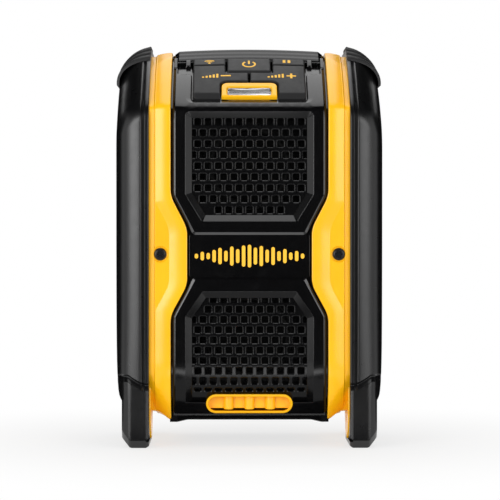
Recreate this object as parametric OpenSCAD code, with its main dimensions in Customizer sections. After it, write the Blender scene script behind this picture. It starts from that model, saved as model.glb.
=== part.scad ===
/* [Body] */
// Half width of the black housing between the side panels
housing_half = 50.3; // [48:0.5:54]
// Distance from the origin forward to the flat housing front
front_depth = 60; // [58:1:62]
// Distance from the origin back to the flat housing rear
rear_depth = 60; // [58:1:62]
// Height of the housing underside above the floor
floor_z = 18; // [16:1:20]
// Height at which the chin starts to tuck under
chin_top = 55; // [50:1:60]
// Radius of the chin
chin_r = 48.3; // [46:1:60]
// Height of the front edge of the control deck
deck_start_z = 218.6; // [214:1:222]
// Height of the housing crest behind the deck
crest_z = 259; // [256:1:262]
// Wall of the black housing at the front, chin and deck
wall = 4; // [3.5:0.5:4.5]

/* [Sides] */
// Outer half width of the rubber bumpers
bumper_half = 85.8; // [84:0.5:88]
// Half width at which the bumper meets the yellow panel
bumper_inner = 64.4; // [62:0.5:66]
// Half width over the outside of the feet
foot_half = 81.9; // [80:0.5:83]
// Radius of the top outer corners seen from the front
corner_r = 24; // [20:1:28]
// Depth of the yellow waist bulge plate
bulge_t = 4; // [3:0.5:4]
// Height of the two trim screws
trim_screw_z = 124.3; // [118:1:130]
// Height of the arch between the legs
arch_z = 34; // [30:1:36]
// How far the ribbed corner grips stand over the housing line
grip_rise = 4.8; // [4:0.2:5.2]

/* [Grilles] */
// Distance between grille holes across
hole_pitch_x = 6.66; // [6.2:0.1:7.2]
// Distance between the rows of the upper grille
upper_pitch_z = 7.1; // [6.6:0.1:7.2]
// Distance between the rows of the lower grille
lower_pitch_z = 6.6; // [6.3:0.1:6.7]
// Width of one grille hole
hole_w = 4.2; // [3.6:0.1:4.4]
// Thickness of the grille plates
grille_t = 1.5; // [1.2:0.1:2]

/* [Controls] */
// Slope of the control board and of the button travel
board_tilt = 33; // [30:1:36]
// Travel of every button
button_travel = 0.6; // [0.4:0.1:0.6]
// Gap between a button and the housing
button_gap = 0.7; // [0.65:0.05:0.8]

/* [Drivers] */
// Height of the upper driver
upper_driver_z = 181; // [176:1:184]
// Height of the lower driver
lower_driver_z = 71; // [70:1:76]
// Radius of the driver flange
driver_flange_r = 33.5; // [33:0.5:35]

/* [Rear] */
// Width of the battery bay
bay_w = 82; // [80:1:84]
// Depth of the battery bay
bay_depth = 20; // [18:1:22]
// Wire diameter of the hanging bracket
wire_d = 4.4; // [4:0.2:4.6]
// Bore of the audio socket
jack_bore_d = 3.6; // [3.5:0.05:3.7]
// Bore of the power inlet
inlet_bore_d = 5.7; // [5.5:0.1:6.3]

/* [Hidden] */
$fn = 48;
far = 200;

// Offsets of the neighbours from the housing line
panel_off = 2;
bumper_off = 3;
side_wall = 3;
core_inset = 5;
core_half = 78;
core_wall = 3;
seal_half = 0.6;

// Side profile, written as [y, z]
front_y = -front_depth;
rear_y = rear_depth;
deck_r = 250;
deck_end_y = 4;
deck_a = [front_y, deck_start_z];
deck_b = [deck_end_y, crest_z];
deck_l = norm(deck_b - deck_a);
deck_n = [deck_b[1] - deck_a[1], deck_a[0] - deck_b[0]] / deck_l;
deck_c = (deck_a + deck_b) / 2 + deck_n * sqrt(deck_r * deck_r - deck_l * deck_l / 4);
chin_c = [front_y + chin_r, chin_top];
top_z = deck_c[1] + sqrt(deck_r * deck_r - deck_c[0] * deck_c[0]);
rear_r = 12;
rear_cut = 8;

function arc(c, r, a0, a1, n) =
    [for (i = [0:n]) c + r * [cos(a0 + (a1 - a0) * i / n), sin(a0 + (a1 - a0) * i / n)]];
function deck_z(y, off) = deck_c[1] + sqrt(pow(deck_r + off, 2) - pow(y - deck_c[0], 2));
function deck_angle(y, off) = acos((y - deck_c[0]) / (deck_r + off));
function deck_pts(off, y1) =
    arc(deck_c, deck_r + off, deck_angle(front_y - off, off), deck_angle(y1, off), 10);
function chin_pts(off) =
    arc(chin_c, chin_r + off, 180 + asin((chin_top - floor_z + off) / (chin_r + off)), 180, 6);
function front_pts(off, y1) = concat([[y1, floor_z - off]], chin_pts(off), deck_pts(off, y1));
function rear_pts(off, y0) = concat(
    arc([rear_y - rear_r, top_z - rear_r], rear_r + off, 90, 0, 6),
    [[rear_y + off, floor_z + rear_cut], [rear_y + off - rear_cut, floor_z - off]]);
function full_pts(off) = concat(
    chin_pts(off), deck_pts(off, 0), rear_pts(off, 0));

module yz_slab(x0, x1) { translate([x0, 0, 0]) rotate([90, 0, 90]) linear_extrude(x1 - x0) children(); }
module xz_slab(y0, y1) { translate([0, y1, 0]) rotate([90, 0, 0]) linear_extrude(y1 - y0) children(); }
module box(x, y, z) { translate([x[0], y[0], z[0]]) cube([x[1] - x[0], y[1] - y[0], z[1] - z[0]]); }
module y_rod(x, z, y0, y1, r) { translate([x, y0, z]) rotate([-90, 0, 0]) cylinder(r = r, h = y1 - y0); }
module x_rod(y, z, x0, x1, r) { translate([x0, y, z]) rotate([0, 90, 0]) cylinder(r = r, h = x1 - x0); }
module both_sides() { children(); mirror([1, 0, 0]) children(); }
module pill(half_w, half_h) {
    square([2 * (half_w - half_h), 2 * half_h], center = true);
    for (s = [-1, 1]) translate([s * (half_w - half_h), 0]) circle(half_h);
}

// Front frame and grilles, written as [x, z]
grille_half = 39.5;
grille_cut = 9;
upper_grille_z = [148, 213];
lower_grille_z = [31.5, 98.5];
grille_lap = 2;
hole_reach = 35.5;
grille_rows = 9;
band_z = [108.5, 137.7];
band_depth = 2;
waist_half = 39.7;
bulge_z = [[85, 104.6], [141, 161.5]];
bulge_depth = 2.3;

// Each grille opening has two cut corners, at the waist end
module upper_opening(grow) {
    h = grille_half + grow;
    z0 = upper_grille_z[0] - grow;
    c = grille_cut + grow * 0.4;
    polygon([[-h, upper_grille_z[1] + grow], [-h, z0 + c * 1.7], [-h + c, z0],
        [h - c, z0], [h, z0 + c * 1.7], [h, upper_grille_z[1] + grow]]);
}
module lower_opening(grow) {
    h = grille_half + grow;
    z1 = lower_grille_z[1] + grow;
    z0 = lower_grille_z[0] - grow;
    c = grille_cut + grow * 0.4;
    difference() {
        polygon([[-h, z0], [-h, z1 - c * 1.7], [-h + c, z1], [h - c, z1], [h, z1 - c * 1.7], [h, z0]]);
        translate([0, port_z]) pill(port_half + port_rim - grow, port_half_h + port_rim - grow);
    }
}
module bulge_shape(grow) {
    for (s = [-1, 1]) scale([s, 1])
        polygon([[housing_half + 1, bulge_z[0][0]], [waist_half - grow, bulge_z[0][1]],
            [waist_half - grow, bulge_z[1][0]], [housing_half + 1, bulge_z[1][1]]]);
}
// Rows run down from z_top, each shifted by half a pitch; near the cut corners they get shorter
module grille_holes(z_top, pitch, phase, corner) {
    for (r = [0:grille_rows - 1], c = [-6:6]) {
        x = (c + ((r + phase) % 2) / 2) * hole_pitch_x;
        z = z_top - r * pitch;
        if (abs(x) < min(hole_reach, corner[0] + abs(z - corner[1])))
            translate([x, z]) square(hole_w, center = true);
    }
}

// Vent in the chin
port_z = 28.9;
port_half = 28;
port_half_h = 6.45;
port_wall = 2;
port_rear_y = -37;
duct_rear_y = -8;
port_rim = grille_lap;
vane_pitch = 13.4;
vane_r = 3.3;

// Control deck; v runs up the slope and w out of it, from the board origin
board_o = [-30, 236.5];
function board_v(y, off) =
    (y - board_o[0]) * cos(board_tilt) + (deck_z(y, off) - board_o[1]) * sin(board_tilt);
module on_board() { translate([0, board_o[0], board_o[1]]) rotate([board_tilt, 0, 0]) children(); }
cap_off = 2;
v_vol_front = board_v(-53.3, 0);
v_vol_back = board_v(-22, cap_off);
key_space = 1.2;
v_small_front = v_vol_back + key_space;
v_small_back = board_v(-12.6, cap_off);
v_power_front = board_v(-30.2, cap_off);
v_bezel_front = board_v(-54.6, 0.8);
v_bezel_back = board_v(-40, 0.8);
v_lens_front = board_v(-52.6, 0.8);
v_lens_back = board_v(-45.2, 0.8);
key_half = 36.5;
key_split = key_space / 2;
power_half = 14.2;
small_inner = power_half + key_space;
bezel_half = 18.1;
lens_half = 14;
bezel_depth = 1.6;
board_w = -9;
board_t = 1.6;
board_half = 43;
v_board_front = v_vol_front + 5.8;
post_at = [40.3, v_board_front + 3.2, v_small_back - 1];
post_r = 2.4;
switch_h = 3.2;
plunger_h = 1;
plunger_r = 1.75;
stem_r = 1.6;
stem_gap = 0.3;

module power_key(grow) {
    translate([-power_half - grow, v_power_front - grow])
        square([2 * (power_half + grow), v_small_back - v_power_front + 2 * grow]);
}
bezel_r = 4;
module bezel_shape(grow, v_front) {
    h = bezel_half + grow;
    v1 = v_bezel_back + grow;
    translate([-h, v_front]) square([2 * h, v1 - bezel_r - v_front]);
    translate([-h + bezel_r, v_front]) square([2 * (h - bezel_r), v1 - v_front]);
    for (s = [-1, 1]) translate([s * (h - bezel_r), v1 - bezel_r]) circle(bezel_r);
}
module volume_key(grow) {
    difference() {
        translate([key_split - grow, v_vol_front - grow])
            square([key_half - key_split + 2 * grow, v_vol_back - v_vol_front + 2 * grow]);
        power_key(key_space - grow);
        bezel_shape(0.5 - grow * 0.3, v_bezel_front - 5);
    }
}
module small_key(grow) {
    translate([small_inner - grow, v_small_front - grow])
        square([key_half - small_inner + 2 * grow, v_small_back - v_small_front + 2 * grow]);
}
module key_prism() { on_board() translate([0, 0, -40]) linear_extrude(80) children(); }
module deck_band(off0, off1, half) {
    difference() {
        yz_slab(-half, half) polygon(front_pts(off1, 4));
        yz_slab(-half - 1, half + 1) polygon(front_pts(off0, 5));
    }
}
// Positions of the five switches as [x, v]
switch_at = [[0, (v_power_front + v_small_back) / 2 + 2], [-27, (v_small_front + v_small_back) / 2],
    [27, (v_small_front + v_small_back) / 2], [-27, (v_vol_front + v_vol_back) / 2 - 2],
    [27, (v_vol_front + v_vol_back) / 2 - 2]];
module key(at) {
    intersection() {
        deck_band(-3, cap_off, key_half + 1);
        key_prism() children();
    }
    intersection() {
        on_board() translate([at[0], at[1], board_w + switch_h + plunger_h + button_travel + stem_gap])
            cylinder(r = stem_r, h = 20);
        yz_slab(-key_half, key_half) polygon(front_pts(-1, 4));
    }
}

// Drivers, measured back from the rear face of the baffle
baffle_y = [-46, -43];
baffle_hole_r = 28.2;
driver_screw_r = 31;
screw_shank_r = 1.25;
driver_names = [upper_driver_z, lower_driver_z];
module at_driver(z) { translate([0, baffle_y[1], z]) rotate([-90, 0, 0]) children(); }
module ring_of(n, r) { for (i = [0:n - 1]) rotate(45 + 360 * i / n) translate([r, 0, 0]) children(); }

module basket(z) {
    color("dimgray") at_driver(z) difference() {
        rotate_extrude() polygon([[26.6, 1], [driver_flange_r, 1], [driver_flange_r, 3], [28.2, 3],
            [18.4, 17], [18.4, 19], [9, 19], [9, 17.6], [16.9, 17.6], [26.6, 3.6]]);
        ring_of(4, driver_screw_r) cylinder(r = screw_shank_r, h = 10);
        for (i = [0:3]) rotate(90 * i) translate([12, -6, 5.5]) cube([20, 12, 9.5]);
    }
}
module magnet(z) {
    color("slategray") at_driver(z) rotate_extrude()
        polygon([[0, 19], [6.4, 19], [6.4, 27], [8.2, 27], [8.2, 19], [18, 19], [18, 31], [0, 31]]);
}
module surround(z) {
    color("black") at_driver(z) rotate_extrude() difference() {
        union() {
            translate([25.6, 0.4]) square([2.4, 0.6]);
            translate([24.9, 0.7]) circle(1.9);
        }
        translate([24.9, 0.7]) circle(1.3);
        translate([20, 0.95]) square([6, 4]);
        translate([25.6, 1]) square([4, 4]);
    }
}
dome_c = [0, 16.27];
dome_r = 9.67;
dome_t = 0.6;
module cone(z) {
    color("gray") at_driver(z) rotate_extrude() polygon(concat(
        arc(dome_c, dome_r, -90, -43.6, 5),
        [[22.6, 1.1], [22.6, 1.8], [7.5, 11.2], [7.5, 23.5], [7, 23.5]],
        arc(dome_c, dome_r - dome_t, -39.5, -90, 5)));
}

// Side parts, drawn for the right and mirrored for the left
side_top_z = top_z + bumper_off;
function side_outline(off) = concat(
    [[bumper_inner - 1, 1.6], [bumper_inner + 1.2, 0], [76.5, 0], [foot_half + off, 6.5]],
    [for (z = [30:8:86]) [foot_half + off + (bumper_half - foot_half) * (1 - exp((30 - z) / 14)), z]],
    arc([bumper_half - corner_r, side_top_z - corner_r], corner_r + off, 0, 90, 8),
    [[bumper_inner - 1, side_top_z + off]]);
plan_r = 14;
arch_c = 10;
arch_half = 14;
module bumper_plan() {
    d = front_depth + bumper_off;
    polygon(concat([[40, d], [40, -d]], arc([bumper_half - plan_r, -d + plan_r], plan_r, -90, 0, 8),
        arc([bumper_half - plan_r, d - plan_r], plan_r, 0, 90, 8)));
}
// Each foot stands nearly as far out as the bumper over it, with a groove between the two
foot_out = bumper_off - 0.4;
foot_bevel = 5;
groove_z = [38.5, 41.5, 43.5];
function foot_pts(y, out) = [[y + out * (foot_out - 3.4), 0], [y + out * foot_out, foot_bevel],
    [y + out * foot_out, groove_z[0]], [y + out * 0.6, groove_z[1]],
    [y + out * (bumper_off - 0.6), groove_z[2]], [y + out * bumper_off, groove_z[2] + 1.5]];
function reversed(list) = [for (i = [len(list) - 1:-1:0]) list[i]];
module bumper_side() {
    polygon(concat(foot_pts(front_y, -1), deck_pts(bumper_off, 0),
        arc([rear_y - rear_r, top_z - rear_r], rear_r + bumper_off, 90, 0, 6),
        reversed(foot_pts(rear_y, 1))));
}
module arch() {
    yz_slab(0, far) {
        translate([arch_c - arch_half, -1]) square([2 * arch_half, arch_z - arch_half + 1]);
        translate([arch_c, arch_z - arch_half]) circle(arch_half);
    }
}
// The yellow tongues run down inside the legs, [centre y, half width, inner face x]
front_tongue = [-33, 22, bumper_inner - 1];
rear_tongue = [41, 12, bumper_inner + 3];
tongue_x = bumper_inner + 7.6;
tongue_foot_z = 4;
tongue_top_z = 46;
module tongue(t) {
    yz_slab(t[2], tongue_x) {
        translate([t[0] - t[1], tongue_foot_z + t[1]])
            square([2 * t[1], tongue_top_z - tongue_foot_z - t[1]]);
        translate([t[0], tongue_foot_z + t[1]]) circle(t[1]);
    }
}
module tongues() {
    tongue(front_tongue);
    tongue(rear_tongue);
}
window_y = 24;
window_z = [64, 206];
module side_window() {
    polygon([[-window_y, window_z[0] + 10], [-window_y + 10, window_z[0]], [window_y - 10, window_z[0]],
        [window_y, window_z[0] + 10], [window_y, window_z[1] - 14], [window_y - 14, window_z[1]],
        [-window_y + 14, window_z[1]], [-window_y, window_z[1] - 14]]);
}
module core_solid() {
    intersection() {
        yz_slab(bumper_inner - 1, core_half) polygon(full_pts(-core_inset));
        xz_slab(-far, far) polygon(side_outline(-6));
    }
}
module side_hollow() {
    yz_slab(housing_half - 1, core_half - core_wall) polygon(full_pts(-core_inset - core_wall));
}
leg_screw_z = 17.6;
leg_screw_r = 3;
leg_shank_r = 1.5;
leg_shank_l = 4.4;
module leg_points() {
    for (t = [front_tongue, rear_tongue])
        translate([t[2], t[0], leg_screw_z]) rotate([0, 90, 0]) children();
}
panel_w = bumper_inner - housing_half;
trim_x = housing_half + 0.49 * panel_w;
trim_head_r = 0.28 * panel_w;
trim_boss_half = 0.27 * panel_w;
trim_seat_y = -60.6;
trim_shank_r = 2;
boss_back_y = -45;

module side_panel() {
    color("gold") difference() {
        union() {
            yz_slab(housing_half, bumper_inner) polygon(full_pts(panel_off));
            core_solid();
            tongues();
            intersection() {
                xz_slab(front_y - panel_off, front_y - panel_off + bulge_t + 0.3) bulge_shape(0);
                box([0, far], [-far, 0], [0, far]);
            }
        }
        side_hollow();
        leg_points() translate([0, 0, -1]) cylinder(r = leg_screw_r + 0.4, h = 2.6);
        leg_points() cylinder(r = leg_shank_r, h = leg_shank_l);
        y_rod(trim_x, trim_screw_z, -70, trim_seat_y, trim_head_r + 1.4);
        y_rod(trim_x, trim_screw_z, -70, -40, trim_shank_r + 0.2);
    }
}
module bumper() {
    color([0.1, 0.1, 0.1]) difference() {
        intersection() {
            xz_slab(-far, far) polygon(side_outline(0));
            yz_slab(bumper_inner, 100) bumper_side();
            translate([0, 0, -1]) linear_extrude(far + 100) bumper_plan();
        }
        arch();
        core_solid();
        tongues();
        yz_slab(core_half - 1, 100) side_window();
        box([bumper_inner - 1, rear_tongue[2] + 1], [20, far], [-1, floor_z - 0.4]);
    }
}
grip_y = [-16, 34];
grip_ribs = 9;
grip_z = 238;
module grip_layer(y0, y1, side, up) {
    intersection() {
        xz_slab(y0, y1) difference() {
            polygon(side_outline(side));
            polygon(side_outline(0));
        }
        yz_slab(bumper_inner + 0.2, 100) polygon(full_pts(up));
        box([0, far], [-far, far], [grip_z, far + 100]);
    }
    intersection() {
        xz_slab(y0, y1) polygon(side_outline(side));
        yz_slab(bumper_inner + 0.2, 100) difference() {
            polygon(full_pts(up));
            polygon(full_pts(bumper_off));
        }
        box([0, far], [-far, far], [grip_z, far + 100]);
    }
}
module corner_grip() {
    pitch = (grip_y[1] - grip_y[0]) / (grip_ribs - 0.4);
    color([0.16, 0.16, 0.17]) {
        grip_layer(grip_y[0] + 0.1, grip_y[1] - 0.1, 0.8, grip_rise - 1);
        for (i = [0:grip_ribs - 1])
            grip_layer(grip_y[0] + i * pitch, grip_y[0] + (i + 0.6) * pitch, 1.8, grip_rise);
    }
}

// Housing halves
corner_screws = [24.7, 209];
corner_screw_x = 43;
corner_boss_r = 4;
screw_seat_y = 38;
bay_half = bay_w / 2;
bay_z = [36, 172];
bay_y = rear_y - bay_depth;
bay_wall = 3;
port_pocket_z = [178, 198];
port_pocket_half = 36;
port_pocket_y = 48;
hang_half = 39;
hang_z = 202;
hang_y = 56.2;
pivot = [58.9, 240];
pivot_x = [33, 38];
wire_r = wire_d / 2;
door_pivot = [58.6, 180.5];
door_pin_r = 1;
pocket_x = [39, 48];
pocket_y = [-26, -9];
crown_r = 780;

module front_shell() {
    difference() {
        yz_slab(-housing_half, housing_half) polygon(front_pts(0, -seal_half));
        yz_slab(-housing_half + side_wall, housing_half - side_wall) polygon(front_pts(-wall, 1));
    }
}
module rim() {
    for (s = [[-10.6, 0.9], [-6.5, 1.6], [-3.5, 2.1]])
        intersection() {
            deck_band(-1, s[1], housing_half);
            box([-housing_half, housing_half], [s[0], -seal_half], [0, 300]);
        }
}
module front_housing() {
    color([0.12, 0.12, 0.12]) difference() {
        union() {
            front_shell();
            rim();
            intersection() {
                box([-housing_half + 1, housing_half - 1], baffle_y, [floor_z + 1, 216]);
                yz_slab(-far, far) polygon(front_pts(-1, 0));
            }
            for (s = [-1, 1], z = corner_screws)
                y_rod(s * corner_screw_x, z, baffle_y[1] - 1, -seal_half, corner_boss_r);
            both_sides() for (v = [post_at[1], post_at[2]]) intersection() {
                on_board() translate([post_at[0], v, board_w]) cylinder(r = post_r, h = 30);
                yz_slab(0, housing_half) polygon(front_pts(-1, -1));
            }
            both_sides() box([housing_half - 1, trim_x + trim_boss_half],
                [front_y + core_inset + core_wall, boss_back_y],
                [trim_screw_z - 5, trim_screw_z + 5]);
        }
        xz_slab(-70, front_y + wall + 1) upper_opening(0);
        xz_slab(-70, -44) lower_opening(0);
        xz_slab(-70, front_y + bulge_depth) bulge_shape(0);
        box([-waist_half, waist_half], [-70, front_y + band_depth], band_z);
        xz_slab(-70, -30) translate([0, port_z]) pill(port_half, port_half_h);
        for (z = driver_names) at_driver(z) translate([0, 0, -5]) cylinder(r = baffle_hole_r, h = 6);
        for (z = driver_names) at_driver(z) ring_of(4, driver_screw_r)
            translate([0, 0, -2.5]) cylinder(r = screw_shank_r, h = 6);
        for (s = [-1, 1], z = corner_screws) y_rod(s * corner_screw_x, z, -20, 5, 1.5);
        both_sides() y_rod(trim_x, trim_screw_z, -61, boss_back_y - 1, trim_shank_r);
        key_prism() intersection() {
            union() {
                volume_key(button_gap);
                mirror([1, 0]) volume_key(button_gap);
                power_key(button_gap);
                small_key(button_gap);
                mirror([1, 0]) small_key(button_gap);
            }
            translate([-60, -40]) square([120, 80]);
        }
        intersection() {
            key_prism() bezel_shape(0, v_bezel_front);
            deck_band(-bezel_depth, 20, 40);
        }
        key_prism() translate([-lens_half, v_lens_front])
            square([2 * lens_half, v_lens_back - v_lens_front]);
        both_sides() intersection() {
            box(pocket_x, pocket_y, [0, 300]);
            deck_band(-wall + 1.2, 20, 60);
        }
    }
}
module rear_housing() {
    color([0.13, 0.13, 0.13]) difference() {
        intersection() {
            union() {
                difference() {
                    yz_slab(-housing_half, housing_half)
                        polygon(concat([[seal_half, floor_z], [seal_half, top_z + panel_off]],
                            arc([rear_y - rear_r, top_z - rear_r + panel_off], rear_r, 90, 0, 6),
                            [[rear_y, floor_z + rear_cut], [rear_y - rear_cut, floor_z]]));
                    yz_slab(-housing_half + side_wall, housing_half - side_wall)
                        polygon(concat([[-1, floor_z + 3], [-1, top_z - 2]],
                            arc([rear_y - rear_r, top_z - rear_r - 1], rear_r - 3, 90, 0, 6),
                            [[rear_y - 3, floor_z + rear_cut], [rear_y - rear_cut, floor_z + 3]]));
                }
                box([-bay_half - bay_wall, bay_half + bay_wall], [bay_y - bay_wall, rear_y - 1],
                    [bay_z[0] - bay_wall, bay_z[1] + bay_wall]);
                box([-port_pocket_half - 3, port_pocket_half + 3], [port_pocket_y - 3, rear_y - 1],
                    [port_pocket_z[0] - 3, port_pocket_z[1] + 3]);
                box([-hang_half - 3, hang_half + 3], [hang_y - 3, rear_y - 1], [hang_z - 3, 249]);
                for (s = [-1, 1], z = corner_screws)
                    y_rod(s * corner_screw_x, z, seal_half, rear_y - 2, corner_boss_r);
                for (s = [-1, 1], z = board_screw_z)
                    y_rod(s * board_screw_x, z, main_board_y + 1.6, bay_y - bay_wall + 1, 3);
            }
            translate([0, far, top_z + panel_off - crown_r]) rotate([90, 0, 0])
                cylinder(r = crown_r, h = 2 * far, $fn = 200);
        }
        box([-bay_half, bay_half], [bay_y, far], bay_z);
        box([-port_pocket_half, port_pocket_half], [port_pocket_y, far], port_pocket_z);
        box([-hang_half, hang_half], [hang_y, far], [hang_z, 300]);
        for (s = [-1, 1], z = corner_screws) {
            y_rod(s * corner_screw_x, z, -1, far, 1.7);
            y_rod(s * corner_screw_x, z, screw_seat_y, far, 3.5);
        }
        for (s = [-1, 1], z = board_screw_z) y_rod(s * board_screw_x, z, 0, bay_y - 2, 1.2);
        x_rod(door_pivot[0], door_pivot[1], -port_pocket_half - 2.4, port_pocket_half + 2.4,
            door_pin_r + 0.05);
        y_rod(jack_x, socket_z, 40, 50, jack_r);
        y_rod(inlet_x, socket_z, 40, 50, inlet_r);
    }
    color([0.13, 0.13, 0.13]) both_sides() difference() {
        union() {
            x_rod(pivot[0], pivot[1], pivot_x[0], pivot_x[1], 4);
            box(pivot_x, [hang_y - 1, pivot[0]], [pivot[1] - 4, pivot[1] + 4]);
        }
        x_rod(pivot[0], pivot[1], pivot_x[0] - 1, pivot_x[1] + 1, wire_r + 0.06);
    }
}

// Boards and sockets
main_board_y = 28;
board_screw_x = 34;
board_screw_z = [60, 146];
socket_z = 188;
jack_x = -20;
jack_r = 4;
inlet_x = 4;
inlet_r = 5.5;
socket_base_y = 38;

module pan_screw(y0, head_r, head_h, shank_r, len) {
    y_rod(0, 0, y0 - head_h, y0, head_r);
    y_rod(0, 0, y0, y0 + len, shank_r);
}

module upper_grille() {
    color([0.09, 0.09, 0.09]) difference() {
        xz_slab(front_y + wall, front_y + wall + grille_t) upper_opening(grille_lap);
        xz_slab(-70, 0) grille_holes(209.4, upper_pitch_z, 0, [23.4, 152.6]);
    }
}
module lower_grille() {
    color([0.09, 0.09, 0.09]) difference() {
        intersection() {
            difference() {
                yz_slab(-far, far) polygon(front_pts(-wall, 0));
                yz_slab(-far - 1, far + 1) polygon(front_pts(-wall - grille_t, 1));
            }
            xz_slab(-70, -40) lower_opening(grille_lap);
        }
        xz_slab(-70, 0) grille_holes(95.5, lower_pitch_z, 1, [26, 95.5]);
    }
}
module nameplate() {
    color([0.1, 0.1, 0.1]) box([-waist_half + 1, waist_half - 1],
        [front_y + band_depth - 1.2, front_y + band_depth], [band_z[0] + 1, band_z[1] - 1]);
}
module left_side_panel() { mirror([1, 0, 0]) side_panel(); }
module right_side_panel() { side_panel(); }
module left_bumper() { mirror([1, 0, 0]) bumper(); }
module right_bumper() { bumper(); }
module left_corner_grip() { mirror([1, 0, 0]) corner_grip(); }
module right_corner_grip() { corner_grip(); }
module trim_screws() {
    color([0.1, 0.1, 0.1]) both_sides() translate([trim_x, 0, trim_screw_z])
        pan_screw(trim_seat_y, trim_head_r, 1.6, trim_shank_r, 14);
}
module leg_screws() {
    color("silver") both_sides() leg_points() {
        translate([0, 0, 0.2]) cylinder(r = leg_screw_r, h = 1.4);
        translate([0, 0, 1]) cylinder(r = leg_shank_r, h = leg_shank_l - 1);
    }
}
module power_button() { color([0.2, 0.2, 0.2]) key(switch_at[0]) power_key(0); }
module pairing_button() { color([0.2, 0.2, 0.2]) key(switch_at[1]) mirror([1, 0]) small_key(0); }
module play_pause_button() { color([0.2, 0.2, 0.2]) key(switch_at[2]) small_key(0); }
module volume_down_button() { color([0.2, 0.2, 0.2]) key(switch_at[3]) mirror([1, 0]) volume_key(0); }
module volume_up_button() { color([0.2, 0.2, 0.2]) key(switch_at[4]) volume_key(0); }
module light_bezel() {
    color("gold") difference() {
        intersection() {
            key_prism() bezel_shape(0, v_bezel_front);
            deck_band(-bezel_depth, 1.2, 40);
        }
        key_prism() translate([-lens_half, v_lens_front])
            square([2 * lens_half, v_lens_back - v_lens_front]);
    }
}
module status_lens() {
    color([0.9, 0.93, 0.97, 0.5]) intersection() {
        key_prism() translate([-lens_half, v_lens_front])
            square([2 * lens_half, v_lens_back - v_lens_front]);
        deck_band(-wall, 0.9, 40);
    }
}
module light_reflector() {
    color("silver") intersection() {
        on_board() box([-lens_half - 2, lens_half + 2], [v_lens_front - 1, v_lens_back + 1],
            [board_w + 3, 20]);
        yz_slab(-40, 40) polygon(front_pts(-wall, 4));
    }
}
module bass_port() {
    color("gold") {
        intersection() {
            xz_slab(-70, port_rear_y) translate([0, port_z]) difference() {
                pill(port_half, port_half_h);
                pill(port_half - port_wall, port_half_h - port_wall);
            }
            yz_slab(-far, far) polygon(front_pts(0.8, 0));
        }
        intersection() {
            for (i = [-1:1]) translate([i * vane_pitch, -48, port_z - 3.2])
                cylinder(r = vane_r, h = port_half_h + 2.4);
            yz_slab(-far, far) polygon(front_pts(-0.8, 0));
            xz_slab(-70, -30) translate([0, port_z]) pill(port_half - 1, port_half_h - 1);
        }
    }
}
module port_duct() {
    color([0.15, 0.15, 0.15]) xz_slab(port_rear_y, duct_rear_y) translate([0, port_z]) difference() {
        pill(port_half, port_half_h);
        pill(port_half - port_wall, port_half_h - port_wall);
    }
}
module control_board() {
    color("darkgreen") on_board() box([-board_half, board_half], [v_board_front, v_small_back + 3],
        [board_w - board_t, board_w]);
}
module tact_switches() {
    color("dimgray") on_board() for (p = switch_at) translate([p[0], p[1], board_w]) {
        box([-3, 3], [-3, 3], [0, switch_h]);
        cylinder(r = plunger_r, h = switch_h + plunger_h);
    }
}
module housing_seal() {
    color([0.05, 0.05, 0.05]) xz_slab(-seal_half, seal_half) difference() {
        translate([-housing_half + 0.4, floor_z + 0.4])
            square([2 * housing_half - 0.8, top_z - floor_z - 0.8]);
        translate([-housing_half + side_wall, floor_z + 3])
            square([2 * (housing_half - side_wall), top_z - floor_z - 6]);
    }
}
module rear_screws() {
    color("silver") for (s = [-1, 1], z = corner_screws) {
        y_rod(s * corner_screw_x, z, screw_seat_y, screw_seat_y + 2.4, 3.2);
        y_rod(s * corner_screw_x, z, -18, screw_seat_y + 1, 1.5);
    }
}
module upper_driver_basket() { basket(upper_driver_z); }
module lower_driver_basket() { basket(lower_driver_z); }
module upper_driver_magnet() { magnet(upper_driver_z); }
module lower_driver_magnet() { magnet(lower_driver_z); }
module upper_driver_surround() { surround(upper_driver_z); }
module lower_driver_surround() { surround(lower_driver_z); }
module upper_driver_cone() { cone(upper_driver_z); }
module lower_driver_cone() { cone(lower_driver_z); }
module driver_spiders() {
    color("orange") for (z = driver_names) at_driver(z) translate([0, 0, 16.6]) difference() {
        cylinder(r = 16.8, h = 1);
        translate([0, 0, -1]) cylinder(r = 7.9, h = 3);
    }
}
module driver_gaskets() {
    color("black") for (z = driver_names) at_driver(z) difference() {
        cylinder(r = driver_flange_r, h = 1);
        translate([0, 0, -1]) cylinder(r = 28.2, h = 3);
        ring_of(4, driver_screw_r) translate([0, 0, -1]) cylinder(r = screw_shank_r, h = 3);
    }
}
module driver_screws() {
    color("silver") for (z = driver_names) at_driver(z) ring_of(4, driver_screw_r) {
        translate([0, 0, -2.4]) cylinder(r = screw_shank_r, h = 6);
        translate([0, 0, 3]) cylinder(r = 2.3, h = 1.6);
    }
}
module main_board() {
    color("darkgreen") difference() {
        box([-40, 40], [main_board_y, main_board_y + 1.6], [52, 166]);
        for (s = [-1, 1], z = board_screw_z) y_rod(s * board_screw_x, z, 0, 60, 1.2);
    }
}
module capacitors() {
    color("navy") for (p = [[-20, 90], [-8, 90], [18, 70]])
        y_rod(p[0], p[1], main_board_y - 14, main_board_y, 4.5);
}
module heat_sink() {
    color("silver") {
        box([-15, 15], [main_board_y - 3, main_board_y], [110, 136]);
        for (i = [0:6]) box([-15 + i * 4.8, -13.8 + i * 4.8], [main_board_y - 14, main_board_y - 3], [110, 136]);
    }
}
module board_screws() {
    color("silver") for (s = [-1, 1], z = board_screw_z) {
        y_rod(s * board_screw_x, z, main_board_y - 1.8, main_board_y, 2.6);
        y_rod(s * board_screw_x, z, main_board_y, main_board_y + 9, 1.2);
    }
}
rail_x = [25, 31];
rail_lip = 3;
receptacle_z = [52, 152];
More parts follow.
